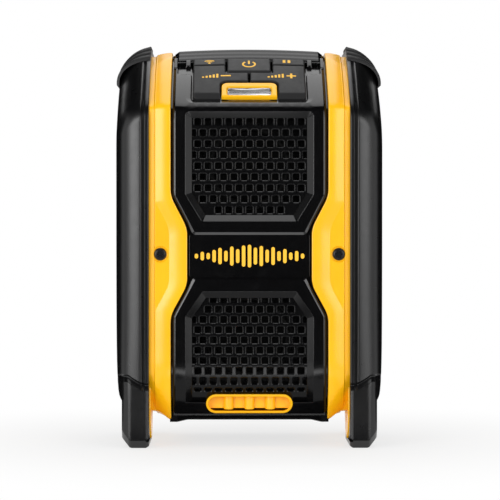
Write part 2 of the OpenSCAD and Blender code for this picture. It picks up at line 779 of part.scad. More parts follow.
module battery_receptacle() {
    color([0.08, 0.08, 0.08]) {
        box([-37, 37], [bay_y, bay_y + 3], receptacle_z);
        both_sides() {
            box(rail_x, [bay_y + 3, bay_y + 11], [receptacle_z[0], receptacle_z[1] - 14]);
            box([rail_x[0] - rail_lip, rail_x[1]], [bay_y + 8, bay_y + 11],
                [receptacle_z[0], receptacle_z[1] - 14]);
        }
    }
}
block_z = [receptacle_z[0], receptacle_z[0] + 16];
module terminal_block() {
    color([0.25, 0.25, 0.25]) difference() {
        box([-17, 17], [bay_y + 3, bay_y + 12], block_z);
        for (x = contact_x) box([x - 0.4, x + 0.4], [bay_y + 5, bay_y + 10], [block_z[0] + 4, block_z[1] + 1]);
    }
}
contact_x = [-11, -3.7, 3.7, 11];
module battery_contacts() {
    color("goldenrod") for (x = contact_x)
        box([x - 0.4, x + 0.4], [bay_y + 5, bay_y + 10], [block_z[0] + 4, block_z[1] + 14]);
}
module aux_jack() {
    color([0.1, 0.1, 0.1]) difference() {
        y_rod(jack_x, socket_z, 36, port_pocket_y + 1, jack_r);
        y_rod(jack_x, socket_z, socket_base_y, 60, jack_bore_d / 2);
    }
}
module power_inlet() {
    color([0.1, 0.1, 0.1]) difference() {
        y_rod(inlet_x, socket_z, 36, port_pocket_y + 1, inlet_r);
        y_rod(inlet_x, socket_z, socket_base_y, 60, inlet_bore_d / 2);
    }
}
module inlet_pin() { color("goldenrod") y_rod(inlet_x, socket_z, socket_base_y, port_pocket_y, 1); }
door_t = 2;
module port_door() {
    color([0.16, 0.16, 0.16]) {
        box([-port_pocket_half + 0.4, port_pocket_half - 0.4],
            [door_pivot[0] - door_t / 2, door_pivot[0] + door_t / 2],
            [port_pocket_z[0] + 0.5, port_pocket_z[1] - 0.4]);
        both_sides() {
            x_rod(door_pivot[0], door_pivot[1], port_pocket_half - 5, port_pocket_half + 2, door_pin_r);
        }
    }
}
bail_half = 30;
bail_drop = 34;
bail_bend = 8;
module hanging_bracket() {
    color("silver") both_sides() translate([0, pivot[0], 0]) {
        x_rod(0, pivot[1], bail_half, pivot_x[1] - 0.4, wire_r);
        translate([bail_half, 0, pivot[1]]) sphere(r = wire_r);
        translate([bail_half, 0, pivot[1] - bail_drop + bail_bend]) cylinder(r = wire_r, h = bail_drop - bail_bend);
        translate([bail_half - bail_bend, 0, pivot[1] - bail_drop + bail_bend]) rotate([90, 0, 0])
            rotate_extrude(angle = -90) translate([bail_bend, 0]) circle(wire_r);
        x_rod(0, pivot[1] - bail_drop, -1, bail_half - bail_bend, wire_r);
    }
}

front_housing();
upper_grille();
lower_grille();
nameplate();
left_side_panel();
right_side_panel();
left_bumper();
right_bumper();
left_corner_grip();
right_corner_grip();
trim_screws();
leg_screws();
power_button();
pairing_button();
play_pause_button();
volume_down_button();
volume_up_button();
light_bezel();
status_lens();
light_reflector();
bass_port();
port_duct();
control_board();
tact_switches();
housing_seal();
rear_housing();
rear_screws();
upper_driver_basket();
lower_driver_basket();
upper_driver_magnet();
lower_driver_magnet();
upper_driver_surround();
lower_driver_surround();
upper_driver_cone();
lower_driver_cone();
driver_spiders();
driver_gaskets();
driver_screws();
main_board();
capacitors();
heat_sink();
board_screws();
battery_receptacle();
terminal_block();
battery_contacts();
aux_jack();
power_inlet();
inlet_pin();
port_door();
hanging_bracket();
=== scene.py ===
"""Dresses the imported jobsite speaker: moulded housing, grilles, keys, rubber bumpers and studio."""

import math

import bmesh
import bpy
import numpy as np
from bpy.props import FloatProperty, FloatVectorProperty, PointerProperty
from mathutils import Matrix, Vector
from mathutils.geometry import delaunay_2d_cdt

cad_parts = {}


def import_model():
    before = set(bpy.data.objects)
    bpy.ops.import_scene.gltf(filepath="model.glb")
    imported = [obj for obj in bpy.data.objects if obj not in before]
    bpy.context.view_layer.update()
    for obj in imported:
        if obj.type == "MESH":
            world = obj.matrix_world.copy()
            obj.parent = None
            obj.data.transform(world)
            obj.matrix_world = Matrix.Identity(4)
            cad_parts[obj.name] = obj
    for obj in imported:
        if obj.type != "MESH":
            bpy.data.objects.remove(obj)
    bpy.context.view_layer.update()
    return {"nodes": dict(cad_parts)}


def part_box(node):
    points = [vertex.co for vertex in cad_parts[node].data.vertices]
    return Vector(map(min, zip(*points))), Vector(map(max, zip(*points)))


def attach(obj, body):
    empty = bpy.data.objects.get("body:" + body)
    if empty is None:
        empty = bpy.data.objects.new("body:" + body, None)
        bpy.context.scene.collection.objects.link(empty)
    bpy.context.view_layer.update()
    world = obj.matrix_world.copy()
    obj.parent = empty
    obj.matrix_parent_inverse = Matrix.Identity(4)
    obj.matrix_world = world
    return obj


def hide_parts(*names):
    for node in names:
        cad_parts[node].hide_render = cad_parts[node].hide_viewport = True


bl_info = {
    "name": "Jobsite speaker dressing",
    "version": (1, 0, 0),
    "blender": (4, 5, 0),
    "location": "3D View > Sidebar > Speaker",
    "description": "Builds the detailed skin of the speaker on its packed parts",
    "category": "Object",
}

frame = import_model()

X, Y, Z = 0, 1, 2


def span(node, axis):
    """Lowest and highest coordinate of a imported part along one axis, in millimetres."""
    low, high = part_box(node)
    return round(low[axis] * 1000, 3), round(high[axis] * 1000, 3)


def middle(node, axis):
    """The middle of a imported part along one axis, in millimetres."""
    return sum(span(node, axis)) / 2


# Side profile, in millimetres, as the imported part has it
FRONT_Y, FLOOR_Z = span("front_housing", Y)[0], span("rear_housing", Z)[0]
REAR_Y = -FRONT_Y
DECK_R, DECK_C = 250.0, (103.911, 29.832)
CHIN_TOP, CHIN_R = 55.0, 48.3
CHIN_C = (FRONT_Y + CHIN_R, CHIN_TOP)
TOP_Z = DECK_C[1] + math.sqrt(DECK_R**2 - DECK_C[0] ** 2)
REAR_R, REAR_CUT = 12.0, 8.0
SEAM_Y = span("rear_housing", Y)[0]
HEEL_Y = -SEAM_Y - 0.05
# A height is looked up on the run of a profile below these lengths
CHIN_UPTO, FRONT_UPTO, REAR_UPTO = 60, 215, 256
HALF = span("rear_housing", X)[1]
TRIM_OUT_X, OUTER_X = span("right_bumper", X)
SIDE_HALF_Y, BUMPER_OUT = span("right_bumper", Y)[1], 3.0
# The top is crowned: radius, where the crown starts and over what height it grows
CROWN_R, CROWN_FROM, CROWN_OVER = 780.0, 225, 30
# The tilt of the key board, and a point of its plane in y and z
TILT, BOARD = math.radians(33), (-30.0, 236.5)


def deck_z(y, off=0.0):
    """Height of the deck's curve at a depth, moved out by off."""
    return DECK_C[1] + math.sqrt((DECK_R + off) ** 2 - (y - DECK_C[0]) ** 2)


def chin_y(z):
    """Depth of the front surface at a height of the flat front or the chin."""
    if z >= CHIN_TOP:
        return FRONT_Y
    return CHIN_C[0] - math.sqrt(CHIN_R**2 - (CHIN_TOP - z) ** 2)


# Outline helpers
def offset(corners, distance):
    """Moves each side of an anticlockwise outline inwards, by one distance or one for each side."""
    n = len(corners)
    dist = [distance] * n if isinstance(distance, (int, float)) else list(distance)
    out = []
    for i in range(n):
        (ax, ay), (bx, by), (cx, cy) = corners[i - 1], corners[i], corners[(i + 1) % n]
        l1, l2 = math.hypot(bx - ax, by - ay), math.hypot(cx - bx, cy - by)
        t1, t2 = ((bx - ax) / l1, (by - ay) / l1), ((cx - bx) / l2, (cy - by) / l2)
        d1, d2 = dist[i - 1], dist[i]
        cross = t1[0] * t2[1] - t1[1] * t2[0]
        if abs(cross) < 1e-4:
            d = (d1 + d2) / 2
            out.append((bx - t2[1] * d, by + t2[0] * d))
            continue
        k = (d2 - d1 * (t1[0] * t2[0] + t1[1] * t2[1])) / cross
        out.append((bx - t1[1] * d1 - t1[0] * k, by + t1[0] * d1 - t1[1] * k))
    return out


def rounded(corners, radii, steps=4, closed=True):
    """The outline with its corners rounded: each corner with a radius gives steps + 1 points."""
    n = len(corners)
    radii = [radii] * n if isinstance(radii, (int, float)) else list(radii)
    out = []
    for i in range(n):
        b = Vector(corners[i])
        if radii[i] <= 0 or (not closed and i in (0, n - 1)):
            out.append((b.x, b.y))
            continue
        a, c = Vector(corners[i - 1]), Vector(corners[(i + 1) % n])
        u, v = (a - b), (c - b)
        lu, lv = u.length, v.length
        u, v = u / lu, v / lv
        half = math.acos(max(-1.0, min(1.0, u.dot(v)))) / 2
        if half > math.pi / 2 - 1e-3:
            out += [(b.x, b.y)] * (steps + 1)
            continue
        reach = min(radii[i] / math.tan(half), 0.48 * lu, 0.48 * lv)
        r = reach * math.tan(half)
        centre = b + (u + v).normalized() * (r / math.sin(half))
        p, q = b + u * reach - centre, b + v * reach - centre
        sweep = math.atan2(p.x * q.y - p.y * q.x, p.dot(q))
        for k in range(steps + 1):
            w = sweep * k / steps
            cs, sn = math.cos(w), math.sin(w)
            out.append((centre.x + p.x * cs - p.y * sn, centre.y + p.x * sn + p.y * cs))
    return out


def ring(corners, radii, inset=0.0, steps=4):
    """One ring of a piece's edge: the outline moved inwards, with its corner radii kept true."""
    n = len(corners)
    radii = [radii] * n if isinstance(radii, (int, float)) else list(radii)
    dist = [inset] * n if isinstance(inset, (int, float)) else list(inset)
    fitted = []
    for i in range(n):
        (ax, ay), (bx, by), (cx, cy) = corners[i - 1], corners[i], corners[(i + 1) % n]
        convex = (bx - ax) * (cy - by) - (by - ay) * (cx - bx) > 0
        d = (dist[i - 1] + dist[i]) / 2
        fitted.append(0 if radii[i] <= 0 else max(radii[i] - d if convex else radii[i] + d, 0.05))
    return rounded(offset(corners, dist), fitted, steps)


def divided(loop, like, step):
    """The loop with extra points on its sides, as many as the first loop's sides are long."""
    out = []
    for i, (a, b) in enumerate(zip(loop, loop[1:] + loop[:1])):
        c, d = like[i], like[(i + 1) % len(like)]
        count = max(1, math.ceil(math.hypot(d[0] - c[0], d[1] - c[1]) / step))
        out += [(a[0] + (b[0] - a[0]) * k / count, a[1] + (b[1] - a[1]) * k / count)
                for k in range(count)]
    return out


def arc(cx, cy, r, a0, a1, n):
    """The n + 1 points of an arc between two angles in degrees."""
    return [
        (cx + r * math.cos(math.radians(a0 + (a1 - a0) * i / n)),
         cy + r * math.sin(math.radians(a0 + (a1 - a0) * i / n)))
        for i in range(n + 1)
    ]


def disc(cx, cy, r, n):
    """The n points of a full circle."""
    return arc(cx, cy, r, 0, 360 * (n - 1) / n, n - 1)


def pill(half_w, half_h, cx=0.0, cy=0.0, n=10):
    """An oblong whose short ends are half circles."""
    reach = half_w - half_h
    return arc(cx + reach, cy, half_h, -90, 90, n) + arc(cx - reach, cy, half_h, 90, 270, n)


def oblong(x0, x1, y0, y1):
    """Corners of a rectangle, anticlockwise."""
    return [(x0, y0), (x1, y0), (x1, y1), (x0, y1)]


def inside(points, loops):
    """Which points lie in the area that the loops bound; a loop in a loop is a hole."""
    hit = np.zeros(len(points), bool)
    x, y = points[:, 0][:, None], points[:, 1][:, None]
    for loop in loops:
        a = np.asarray(loop, float)
        b = np.roll(a, -1, axis=0)
        dy = np.where(np.abs(b[:, 1] - a[:, 1]) < 1e-12, 1e-12, b[:, 1] - a[:, 1])
        crosses = ((a[:, 1] > y) != (b[:, 1] > y)) & (
            x < a[:, 0] + (b[:, 0] - a[:, 0]) * (y - a[:, 1]) / dy)
        hit ^= crosses.sum(1) % 2 == 1
    return hit


def clear_of(points, loops, gap):
    """Which points keep a gap to every loop."""
    ok = np.ones(len(points), bool)
    for loop in loops:
        a = np.asarray(loop, float)
        d = np.roll(a, -1, axis=0) - a
        length = np.maximum((d**2).sum(1), 1e-12)
        rel = points[:, None, :] - a[None]
        t = np.clip((rel * d[None]).sum(2) / length[None], 0, 1)
        near = rel - t[..., None] * d[None]
        ok &= (near**2).sum(2).min(1) > gap * gap
    return ok


def thickness(face):
    """The least height of a flat triangle; none for three points on one line."""
    a, b, c = face[:3]
    sides = [math.dist(a, b), math.dist(b, c), math.dist(c, a)]
    area = abs((b[0] - a[0]) * (c[1] - a[1]) - (b[1] - a[1]) * (c[0] - a[0]))
    return area / max(max(sides), 1e-9)


class Profile:
    """A side profile with rounded corners; s runs along it and equals the height on its upright."""

    def __init__(self, corners, radii, anchor, side=1, steps=10):
        pts = np.array(rounded(corners, radii, steps, closed=False))
        keep = np.r_[True, np.linalg.norm(np.diff(pts, axis=0), axis=1) > 1e-6]
        pts = pts[keep]
        s = np.r_[0, np.cumsum(np.linalg.norm(np.diff(pts, axis=0), axis=1))]
        fine = np.arange(0, s[-1] + 0.1, 0.2)
        self.y, self.z = np.interp(fine, s, pts[:, 0]), np.interp(fine, s, pts[:, 1])
        dy, dz = np.gradient(self.y), np.gradient(self.z)
        length = np.hypot(dy, dz)
        soft = np.ones(9) / 9
        ny = np.convolve(np.pad(-dz / length * side, 4, "edge"), soft, "valid")
        nz = np.convolve(np.pad(dy / length * side, 4, "edge"), soft, "valid")
        self.ny, self.nz = ny / np.hypot(ny, nz), nz / np.hypot(ny, nz)
        upright = np.argmin(np.abs(self.z - anchor) + 1000 * (np.abs(dz / length) < 0.999))
        self.s = fine - fine[upright] + self.z[upright]

    def at(self, x, s, n=0.0):
        """The point at x and s, n outside the profile."""
        i = np.interp(s, self.s, np.arange(len(self.s)))
        k = np.arange(len(self.s))
        y, z = np.interp(i, k, self.y), np.interp(i, k, self.z)
        ny, nz = np.interp(i, k, self.ny), np.interp(i, k, self.nz)
        return (x, float(y + ny * n), float(z + nz * n))

    def s_of_z(self, z, upto):
        """Where the profile passes a height, on its run below a length."""
        part = self.s < upto
        order = np.argsort(self.z[part])
        return float(np.interp(z, self.z[part][order], self.s[part][order]))

    def s_of_y(self, y, above=200.0):
        """Where the profile passes a depth, on its run above a length."""
        part = self.s > above
        order = np.argsort(self.y[part])
        return float(np.interp(y, self.y[part][order], self.s[part][order]))


def deck_points(off, y1, n=12):
    """The deck's curve from the front to a depth, moved out by off."""
    a0 = math.degrees(math.acos((FRONT_Y - off - DECK_C[0]) / (DECK_R + off)))
    a1 = math.degrees(math.acos((y1 - DECK_C[0]) / (DECK_R + off)))
    return arc(DECK_C[0], DECK_C[1], DECK_R + off, a0, a1, n)


def chin_points(off, n=12):
    """The chin's curve from the floor up to the flat front, moved out by off."""
    a0 = 180 + math.degrees(math.asin((CHIN_TOP - FLOOR_Z + off) / (CHIN_R + off)))
    return arc(CHIN_C[0], CHIN_C[1], CHIN_R + off, a0, 180, n)


def front_corners():
    """The front's side profile from the seam at the floor to the deck's top."""
    chin, deck = chin_points(0), deck_points(0, 0)
    corners = [(-SEAM_Y, FLOOR_Z)] + chin + deck
    radii = [0, 2.5] + [0] * (len(chin) - 1) + [3.5] + [0] * (len(deck) - 1)
    return corners, radii


SKIN = Profile(*front_corners(), anchor=150)
BACK = Profile(
    [(SEAM_Y, FLOOR_Z), (REAR_Y - REAR_CUT, FLOOR_Z), (REAR_Y, FLOOR_Z + REAR_CUT),
     (REAR_Y, TOP_Z), (SEAM_Y, TOP_Z)], [0, 3, 3, REAR_R, 0], anchor=150, side=-1)


def crown(x, y, z):
    """The housing's top is slightly crowned from side to side."""
    high = min(max((z - CROWN_FROM) / CROWN_OVER, 0), 1)
    return (x, y, z - high * x * x / (2 * CROWN_R))


def on_front(x, s, n=0.0):
    """A point of the unrolled front, n outside its skin."""
    return crown(*SKIN.at(x, s, n))


def on_back(x, s, n=0.0):
    """A point of the unrolled back, n outside its skin."""
    return crown(*BACK.at(x, s, n))


def through_front(x, z, depth):
    """A point straight behind the flat front or the chin."""
    return (x, chin_y(z) + depth, z)


def behind_front(x, s, depth):
    """A point straight behind a place of the unrolled front."""
    return through_front(x, SKIN.at(x, s)[2], depth)


def before_back(x, s, y):
    """A point of a plane across the y axis, at the height of a place of the unrolled back."""
    return (x, y, BACK.at(x, s)[2])


def at_x(y, z, x):
    """A point of a plane across the x axis."""
    return (x, y, z)


def at_y(x, z, y):
    """A point of a plane across the y axis."""
    return (x, y, z)


def level(place, height):
    """A way to place flat points at one height, as fill takes it."""
    return lambda a, b: place(a, b, height)


def unrolled(loops, profile=SKIN, upto=FRONT_UPTO):
    """Loops given in x and z, with the flat points of the unrolled front or back instead."""
    return [(ids, [(x, profile.s_of_z(z, upto)) for x, z in flat]) for ids, flat in loops]


def on_board(x, v, w):
    """A point over the key board: v runs up its slope and w stands on it."""
    c, s = math.cos(TILT), math.sin(TILT)
    return (x, BOARD[0] + v * c - w * s, BOARD[1] + v * s + w * c)


BOARD_C = (
    (DECK_C[0] - BOARD[0]) * math.cos(TILT) + (DECK_C[1] - BOARD[1]) * math.sin(TILT),
    -(DECK_C[0] - BOARD[0]) * math.sin(TILT) + (DECK_C[1] - BOARD[1]) * math.cos(TILT),
)


def above_deck(x, v, off):
    """A point over the key board, on the deck's curve moved out by off."""
    w = BOARD_C[1] + math.sqrt((DECK_R + off) ** 2 - (v - BOARD_C[0]) ** 2)
    return crown(*on_board(x, v, w))


def v_of_y(y, off):
    """Place on the board's slope of a point of the deck's curve."""
    return (y - BOARD[0]) * math.cos(TILT) + (deck_z(y, off) - BOARD[1]) * math.sin(TILT)


def s_of_v(v):
    """Place on the unrolled front of a place on the board's slope."""
    return SKIN.s_of_y(above_deck(0, v, 0)[1])


# Mesh making
class Form:
    """Points and faces of one piece, in millimetres."""

    def __init__(self):
        self.points, self.faces = [], []

    def add(self, points):
        """Adds points and gives their ids."""
        start = len(self.points)
        self.points += [tuple(p) for p in points]
        return list(range(start, len(self.points)))

    def join(self, a, b, closed=True):
        """Joins two rings of equal length by faces."""
        n = len(a)
        for i in range(n if closed else n - 1):
            j = (i + 1) % n
            self.faces.append((a[i], a[j], b[j], b[i]))

    def rings(self, rings, closed=True):
        """Adds rings of equal length and joins each to the next."""
        ids = [self.add(r) for r in rings]
        for a, b in zip(ids, ids[1:]):
            self.join(a, b, closed)
        return ids

    def cap(self, ids):
        """One flat face over a ring."""
        self.faces.append(tuple(ids))

    def rod(self, rings):
        """Adds rings as a closed body with a flat face at both ends."""
        ids = self.rings(rings)
        self.cap(ids[0])
        self.cap(ids[-1])

    def strip(self, rows):
        """Adds open rows as a closed body: flat faces join the ends of the rows and close both ends."""
        ids = self.rings(rows, closed=False)
        self.join([r[0] for r in ids], [r[-1] for r in ids], closed=False)
        self.cap(ids[0])
        self.cap(ids[-1])

    def stack(self, levels, place):
        """Adds a ring for each pair of flat points and height, and joins it to the one before.

        The rings come back as pairs of point ids and flat points, as fill takes them.
        """
        loops = []
        for flat, height in levels:
            ids = self.add([place(a, b, height) for a, b in flat])
            if loops:
                self.join(loops[-1][0], ids)
            loops.append((ids, flat))
        return loops

    def wall(self, corners, radii, profile, place, steps=4):
        """Stacks the rings of one outline: profile is a list of (inset, height)."""
        return self.stack([(ring(corners, radii, inset, steps), height) for inset, height in profile],
                          place)

    def fill(self, loops, place, step=(6.0, 6.0)):
        """Covers the area between an outline and its holes, given as pairs of ids and flat points."""
        flat, ids, edges = [], [], []
        for loop_ids, pts in loops:
            b, n = len(flat), len(pts)
            flat += [tuple(map(float, p)) for p in pts]
            ids += list(loop_ids)
            edges += [(b + i, b + (i + 1) % n) for i in range(n)]
        outlines = [pts for _, pts in loops]
        outer = np.array(flat)
        low, high = outer.min(0), outer.max(0)
        gx = np.linspace(low[0], high[0], max(2, int((high[0] - low[0]) / step[0]) + 2))[1:-1]
        gy = np.linspace(low[1], high[1], max(2, int((high[1] - low[1]) / step[1]) + 2))[1:-1]
        grid = np.array([(x, y) for y in gy for x in gx], float).reshape(-1, 2)
        if len(grid):
            grid = grid[inside(grid, outlines) & clear_of(grid, outlines, min(step) * 0.3)]
        coords = [Vector(p) for p in flat] + [Vector(p) for p in grid]
        verts, _, faces, source, _, _ = delaunay_2d_cdt(coords, edges, [], 0, 1e-5)
        where = []
        for v, src in zip(verts, source):
            old = [k for k in src if k < len(ids)]
            where.append(ids[old[0]] if old else self.add([place(v.x, v.y)])[0])
        flat_verts = np.array([(v.x, v.y) for v in verts])
        faces = [f for f in faces if thickness(flat_verts[list(f)]) > 3e-4]
        centres = np.array([flat_verts[list(f)].mean(0) for f in faces])
        for f, ok in zip(faces, inside(centres, outlines)):
            if ok:
                self.faces.append(tuple(where[i] for i in f))

    def mirrored(self):
        """The same form on the other side of the speaker."""
        other = Form()
        other.points = [(-x, y, z) for x, y, z in self.points]
        other.faces = [tuple(reversed(f)) for f in self.faces]
        return other


def linked(name, data):
    """A new object in the scene."""
    obj = bpy.data.objects.new(name, data)
    bpy.context.scene.collection.objects.link(obj)
    return obj


def solid(name, form):
    """Turns a form into an object."""
    mesh = bpy.data.meshes.new(name)
    bm = bmesh.new()
    verts = [bm.verts.new((x / 1000, y / 1000, z / 1000)) for x, y, z in form.points]
    for f in form.faces:
        ids = list(dict.fromkeys(f))
        if len(ids) > 2:
            try:
                bm.faces.new([verts[i] for i in ids])
            except ValueError:
                pass
    bmesh.ops.remove_doubles(bm, verts=bm.verts, dist=2e-6)
    bmesh.ops.dissolve_degenerate(bm, dist=1e-6, edges=bm.edges)
    loose = [v for v in bm.verts if not v.link_faces]
    bmesh.ops.delete(bm, geom=loose, context="VERTS")
    bmesh.ops.recalc_face_normals(bm, faces=bm.faces)
    bm.to_mesh(mesh)
    bm.free()
    return linked(name, mesh)


def piece(name, form, look, body="housing", slot=None, nodes=(), crisp=38, weighted=True):
    """Makes an object of a form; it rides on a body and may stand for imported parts."""
    return settle(solid(name, form), look, body, slot, nodes, crisp, weighted)


def settle(obj, look, body, slot, nodes, crisp=38, weighted=True):
    """Shades a new object, gives it its finish and fixes it to its body."""
    mesh = obj.data
    mesh.materials.clear()
    mesh.materials.append(look)
    mesh.shade_smooth()
    mesh.set_sharp_from_angle(angle=math.radians(crisp))
    if weighted:
        normals = obj.modifiers.new("even_shading", "WEIGHTED_NORMAL")
        normals.keep_sharp = True
        bake(obj)
    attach(obj, body)
    if nodes:
        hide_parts(*nodes)
    return obj


def bake(obj):
    """Puts an object's modifiers into its mesh."""
    graph = bpy.context.evaluated_depsgraph_get()
    mesh = bpy.data.meshes.new_from_object(obj.evaluated_get(graph))
    old = obj.data
    obj.modifiers.clear()
    obj.data = mesh
    bpy.data.meshes.remove(old)
    mesh.name = obj.name


def softened(name, node, look, slot, width=0.4):
    """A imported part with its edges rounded, for parts that are right but for their sharp edges."""
    mesh = frame["nodes"][node].data.copy()
    bm = bmesh.new()
    bm.from_mesh(mesh)
    bmesh.ops.remove_doubles(bm, verts=bm.verts, dist=1e-6)
    bmesh.ops.dissolve_limit(bm, angle_limit=math.radians(1), verts=bm.verts, edges=bm.edges)
    bm.to_mesh(mesh)
    bm.free()
    obj = linked(name, mesh)
    edge = obj.modifiers.new("soft_edges", "BEVEL")
    edge.width = width / 1000
    edge.segments = 2
    edge.limit_method = "ANGLE"
    edge.angle_limit = math.radians(40)
    bake(obj)
    return settle(obj, look, "housing", slot, [node])


# Finishes
def finish(name, colour, rough, vary=0.1, grain=0.0, grain_size=0.0006, specular=0.5,
           metal=0.0, wear=0.0, coat=0.0, scuff=0.0, sheen=0.0, fleck=0.004):
    """A moulded, painted or metal surface: mottled colour, uneven gloss, fine grain, worn edges."""
    mat = bpy.data.materials.new(name)
    mat.use_nodes = True
    tree = mat.node_tree
    shader = tree.nodes["Principled BSDF"]
    shader.inputs["Metallic"].default_value = metal
    shader.inputs["Specular IOR Level"].default_value = specular
    shader.inputs["Coat Weight"].default_value = coat
    shader.inputs["Coat Roughness"].default_value = 0.12
    shader.inputs["Sheen Weight"].default_value = sheen
    place = tree.nodes.new("ShaderNodeTexCoord").outputs["Object"]

    def noise(size, detail):
        """Cloudy values between 0 and 1 with spots of a size in metres."""
        node = tree.nodes.new("ShaderNodeTexNoise")
        node.inputs["Scale"].default_value = 1 / size
        node.inputs["Detail"].default_value = detail
        tree.links.new(place, node.inputs["Vector"])
        return node.outputs["Fac"]

    def spread(value, low, high, a, b):
        """Maps the values from low to high to those from a to b."""
        node = tree.nodes.new("ShaderNodeMapRange")
        for socket, number in zip(("From Min", "From Max", "To Min", "To Max"), (low, high, a, b)):
            node.inputs[socket].default_value = number
        tree.links.new(value, node.inputs["Value"])
        return node.outputs["Result"]

    def blend(factor, first, second):
        """Mixes two colours, each given or made by other nodes."""
        node = tree.nodes.new("ShaderNodeMix")
        node.data_type = "RGBA"
        tree.links.new(factor, node.inputs["Factor"])
        for socket, value in (("A", first), ("B", second)):
            target = [s for s in node.inputs if s.name == socket and s.type == "RGBA"][0]
            if isinstance(value, tuple):
                target.default_value = value
            else:
                tree.links.new(value, target)
        return [s for s in node.outputs if s.type == "RGBA"][0]

    cloud = noise(0.03, 3)
    dark = tuple(c * (1 - vary) for c in colour) + (1.0,)
    light = tuple(min(c * (1 + vary), 1) for c in colour) + (1.0,)
    tint = blend(spread(cloud, 0.3, 0.7, 0, 1), dark, light)
    speck = noise(fleck, 4)
    rough_out = spread(speck, 0.3, 0.7, rough * 0.94, rough * 1.07)
    if wear:
        edge = tree.nodes.new("ShaderNodeNewGeometry").outputs["Pointiness"]
        bare = tuple(min(c * 1.8 + 0.04, 1) for c in colour) + (1.0,)
        tint = blend(spread(edge, 0.53, 0.62, 0, wear), tint, bare)
    if scuff:
        marks = spread(noise(0.012, 8), 0.6, 0.72, 0, scuff)
        pale = tuple(min(c * 1.5 + 0.02, 1) for c in colour) + (1.0,)
        tint = blend(marks, tint, pale)
        add = tree.nodes.new("ShaderNodeMath")
        add.operation = "MULTIPLY_ADD"
        tree.links.new(marks, add.inputs[0])
        add.inputs[1].default_value = 0.25
        tree.links.new(rough_out, add.inputs[2])
        rough_out = add.outputs[0]
    tree.links.new(tint, shader.inputs["Base Color"])
    tree.links.new(rough_out, shader.inputs["Roughness"])
    if grain:
        bump = tree.nodes.new("ShaderNodeBump")
        bump.inputs["Strength"].default_value = 1.0
        bump.inputs["Distance"].default_value = grain / 1000
        tree.links.new(noise(grain_size, 2), bump.inputs["Height"])
        tree.links.new(bump.outputs["Normal"], shader.inputs["Normal"])
    return mat


def from_srgb(*rgb):
    """A colour given as 0 to 255 on screen, as the shader's own values."""
    return tuple(c / 3294.6 if c <= 10 else ((c / 255 + 0.055) / 1.055) ** 2.4 for c in rgb)


FINISH = {}


def make_finishes(tone):
    """All finishes of the speaker; the four main colours come from the tones."""
    FINISH.update(
        black=finish("moulded_black", tuple(tone.plastic), 0.18, 0.15, grain=0.005, wear=0.1,
                     scuff=0.06),
        grille=finish("grille_black", from_srgb(5, 5, 6), 0.2, 0.12, grain=0.004),
        key=finish("key_rubber", tuple(tone.keys), 0.52, 0.1, grain=0.03, grain_size=0.0004,
                   specular=0.34, wear=0.1),
        rubber=finish("bumper_rubber", tuple(tone.rubber), 0.29, 0.15, grain=0.006),
        grip=finish("grip_rubber", from_srgb(22, 22, 23), 0.5, 0.12, grain=0.05,
                    grain_size=0.0005, specular=0.4, wear=0.2),
        yellow=finish("moulded_yellow", tuple(tone.accent), 0.24, 0.04, grain=0.006, wear=0.08,
                      scuff=0.05),
        print=finish("printed_mark", from_srgb(250, 190, 40), 0.5, 0.06, grain=0.01),
        screw=finish("black_oxide", from_srgb(17, 17, 19), 0.34, 0.1, metal=0.3, wear=0.25),
        zinc=finish("zinc_plate", from_srgb(176, 178, 180), 0.32, 0.08, metal=1.0, wear=0.2),
        bright=finish("bright_steel", from_srgb(205, 206, 208), 0.22, 0.06, metal=1.0, scuff=0.2),
        brass=finish("contact_brass", from_srgb(214, 176, 92), 0.3, 0.08, metal=1.0),
        board=finish("board_green", from_srgb(22, 74, 42), 0.45, 0.2, fleck=0.002),
        switch=finish("switch_plastic", from_srgb(40, 40, 42), 0.5, 0.1),
        seal=finish("seal_rubber", from_srgb(12, 12, 12), 0.75, 0.1, grain=0.03, specular=0.25),
        basket=finish("basket_paint", from_srgb(18, 18, 19), 0.5, 0.12, wear=0.15),
        magnet=finish("magnet_ferrite", from_srgb(40, 40, 42), 0.6, 0.15, grain=0.03),
        cone=finish("cone_paper", from_srgb(9, 9, 9), 0.85, 0.2, grain=0.06, grain_size=0.001,
                    specular=0.1),
        spider=finish("spider_cloth", from_srgb(150, 104, 50), 0.85, 0.15, grain=0.05,
                      grain_size=0.0008, sheen=0.2),
        sleeve=finish("capacitor_sleeve", from_srgb(28, 40, 84), 0.35, 0.1, coat=0.3),
        lens=lens_finish("clear_lens"),
    )


def lens_finish(name):
    """Clear moulded acrylic with a faint haze."""
    mat = finish(name, (0.95, 0.96, 0.97), 0.05, 0.01)
    shader = mat.node_tree.nodes["Principled BSDF"]
    shader.inputs["Transmission Weight"].default_value = 1.0
    shader.inputs["IOR"].default_value = 1.49
    return mat


# Front housing
GRILLE_HALF = 41.3
UPPER_OPENING = [(-30.5, 145.0), (30.5, 145.0), (GRILLE_HALF, 162.6), (GRILLE_HALF, 216.0),
                 (-GRILLE_HALF, 216.0), (-GRILLE_HALF, 162.6)]
LOWER_OPENING = [(-GRILLE_HALF, 28.4), (GRILLE_HALF, 28.4), (GRILLE_HALF, 84.3), (30.3, 100.5),
                 (-30.3, 100.5), (-GRILLE_HALF, 84.3)]
# The port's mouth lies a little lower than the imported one, as in the photo
PORT_LOWER, VANE_X = 1.1, 13.4
PORT_Z = middle("bass_port", Z) - PORT_LOWER
PORT_HALF, PORT_BACK_Y = span("bass_port", X)[1], span("bass_port", Y)[1]
PORT_HIGH = middle("bass_port", Z) - span("bass_port", Z)[0]
KEY_SPLIT, KEY_HALF = span("volume_up_button", X)
POWER_HALF = span("power_button", X)[1]
KEY_SPACE = span("play_pause_button", X)[0] - POWER_HALF
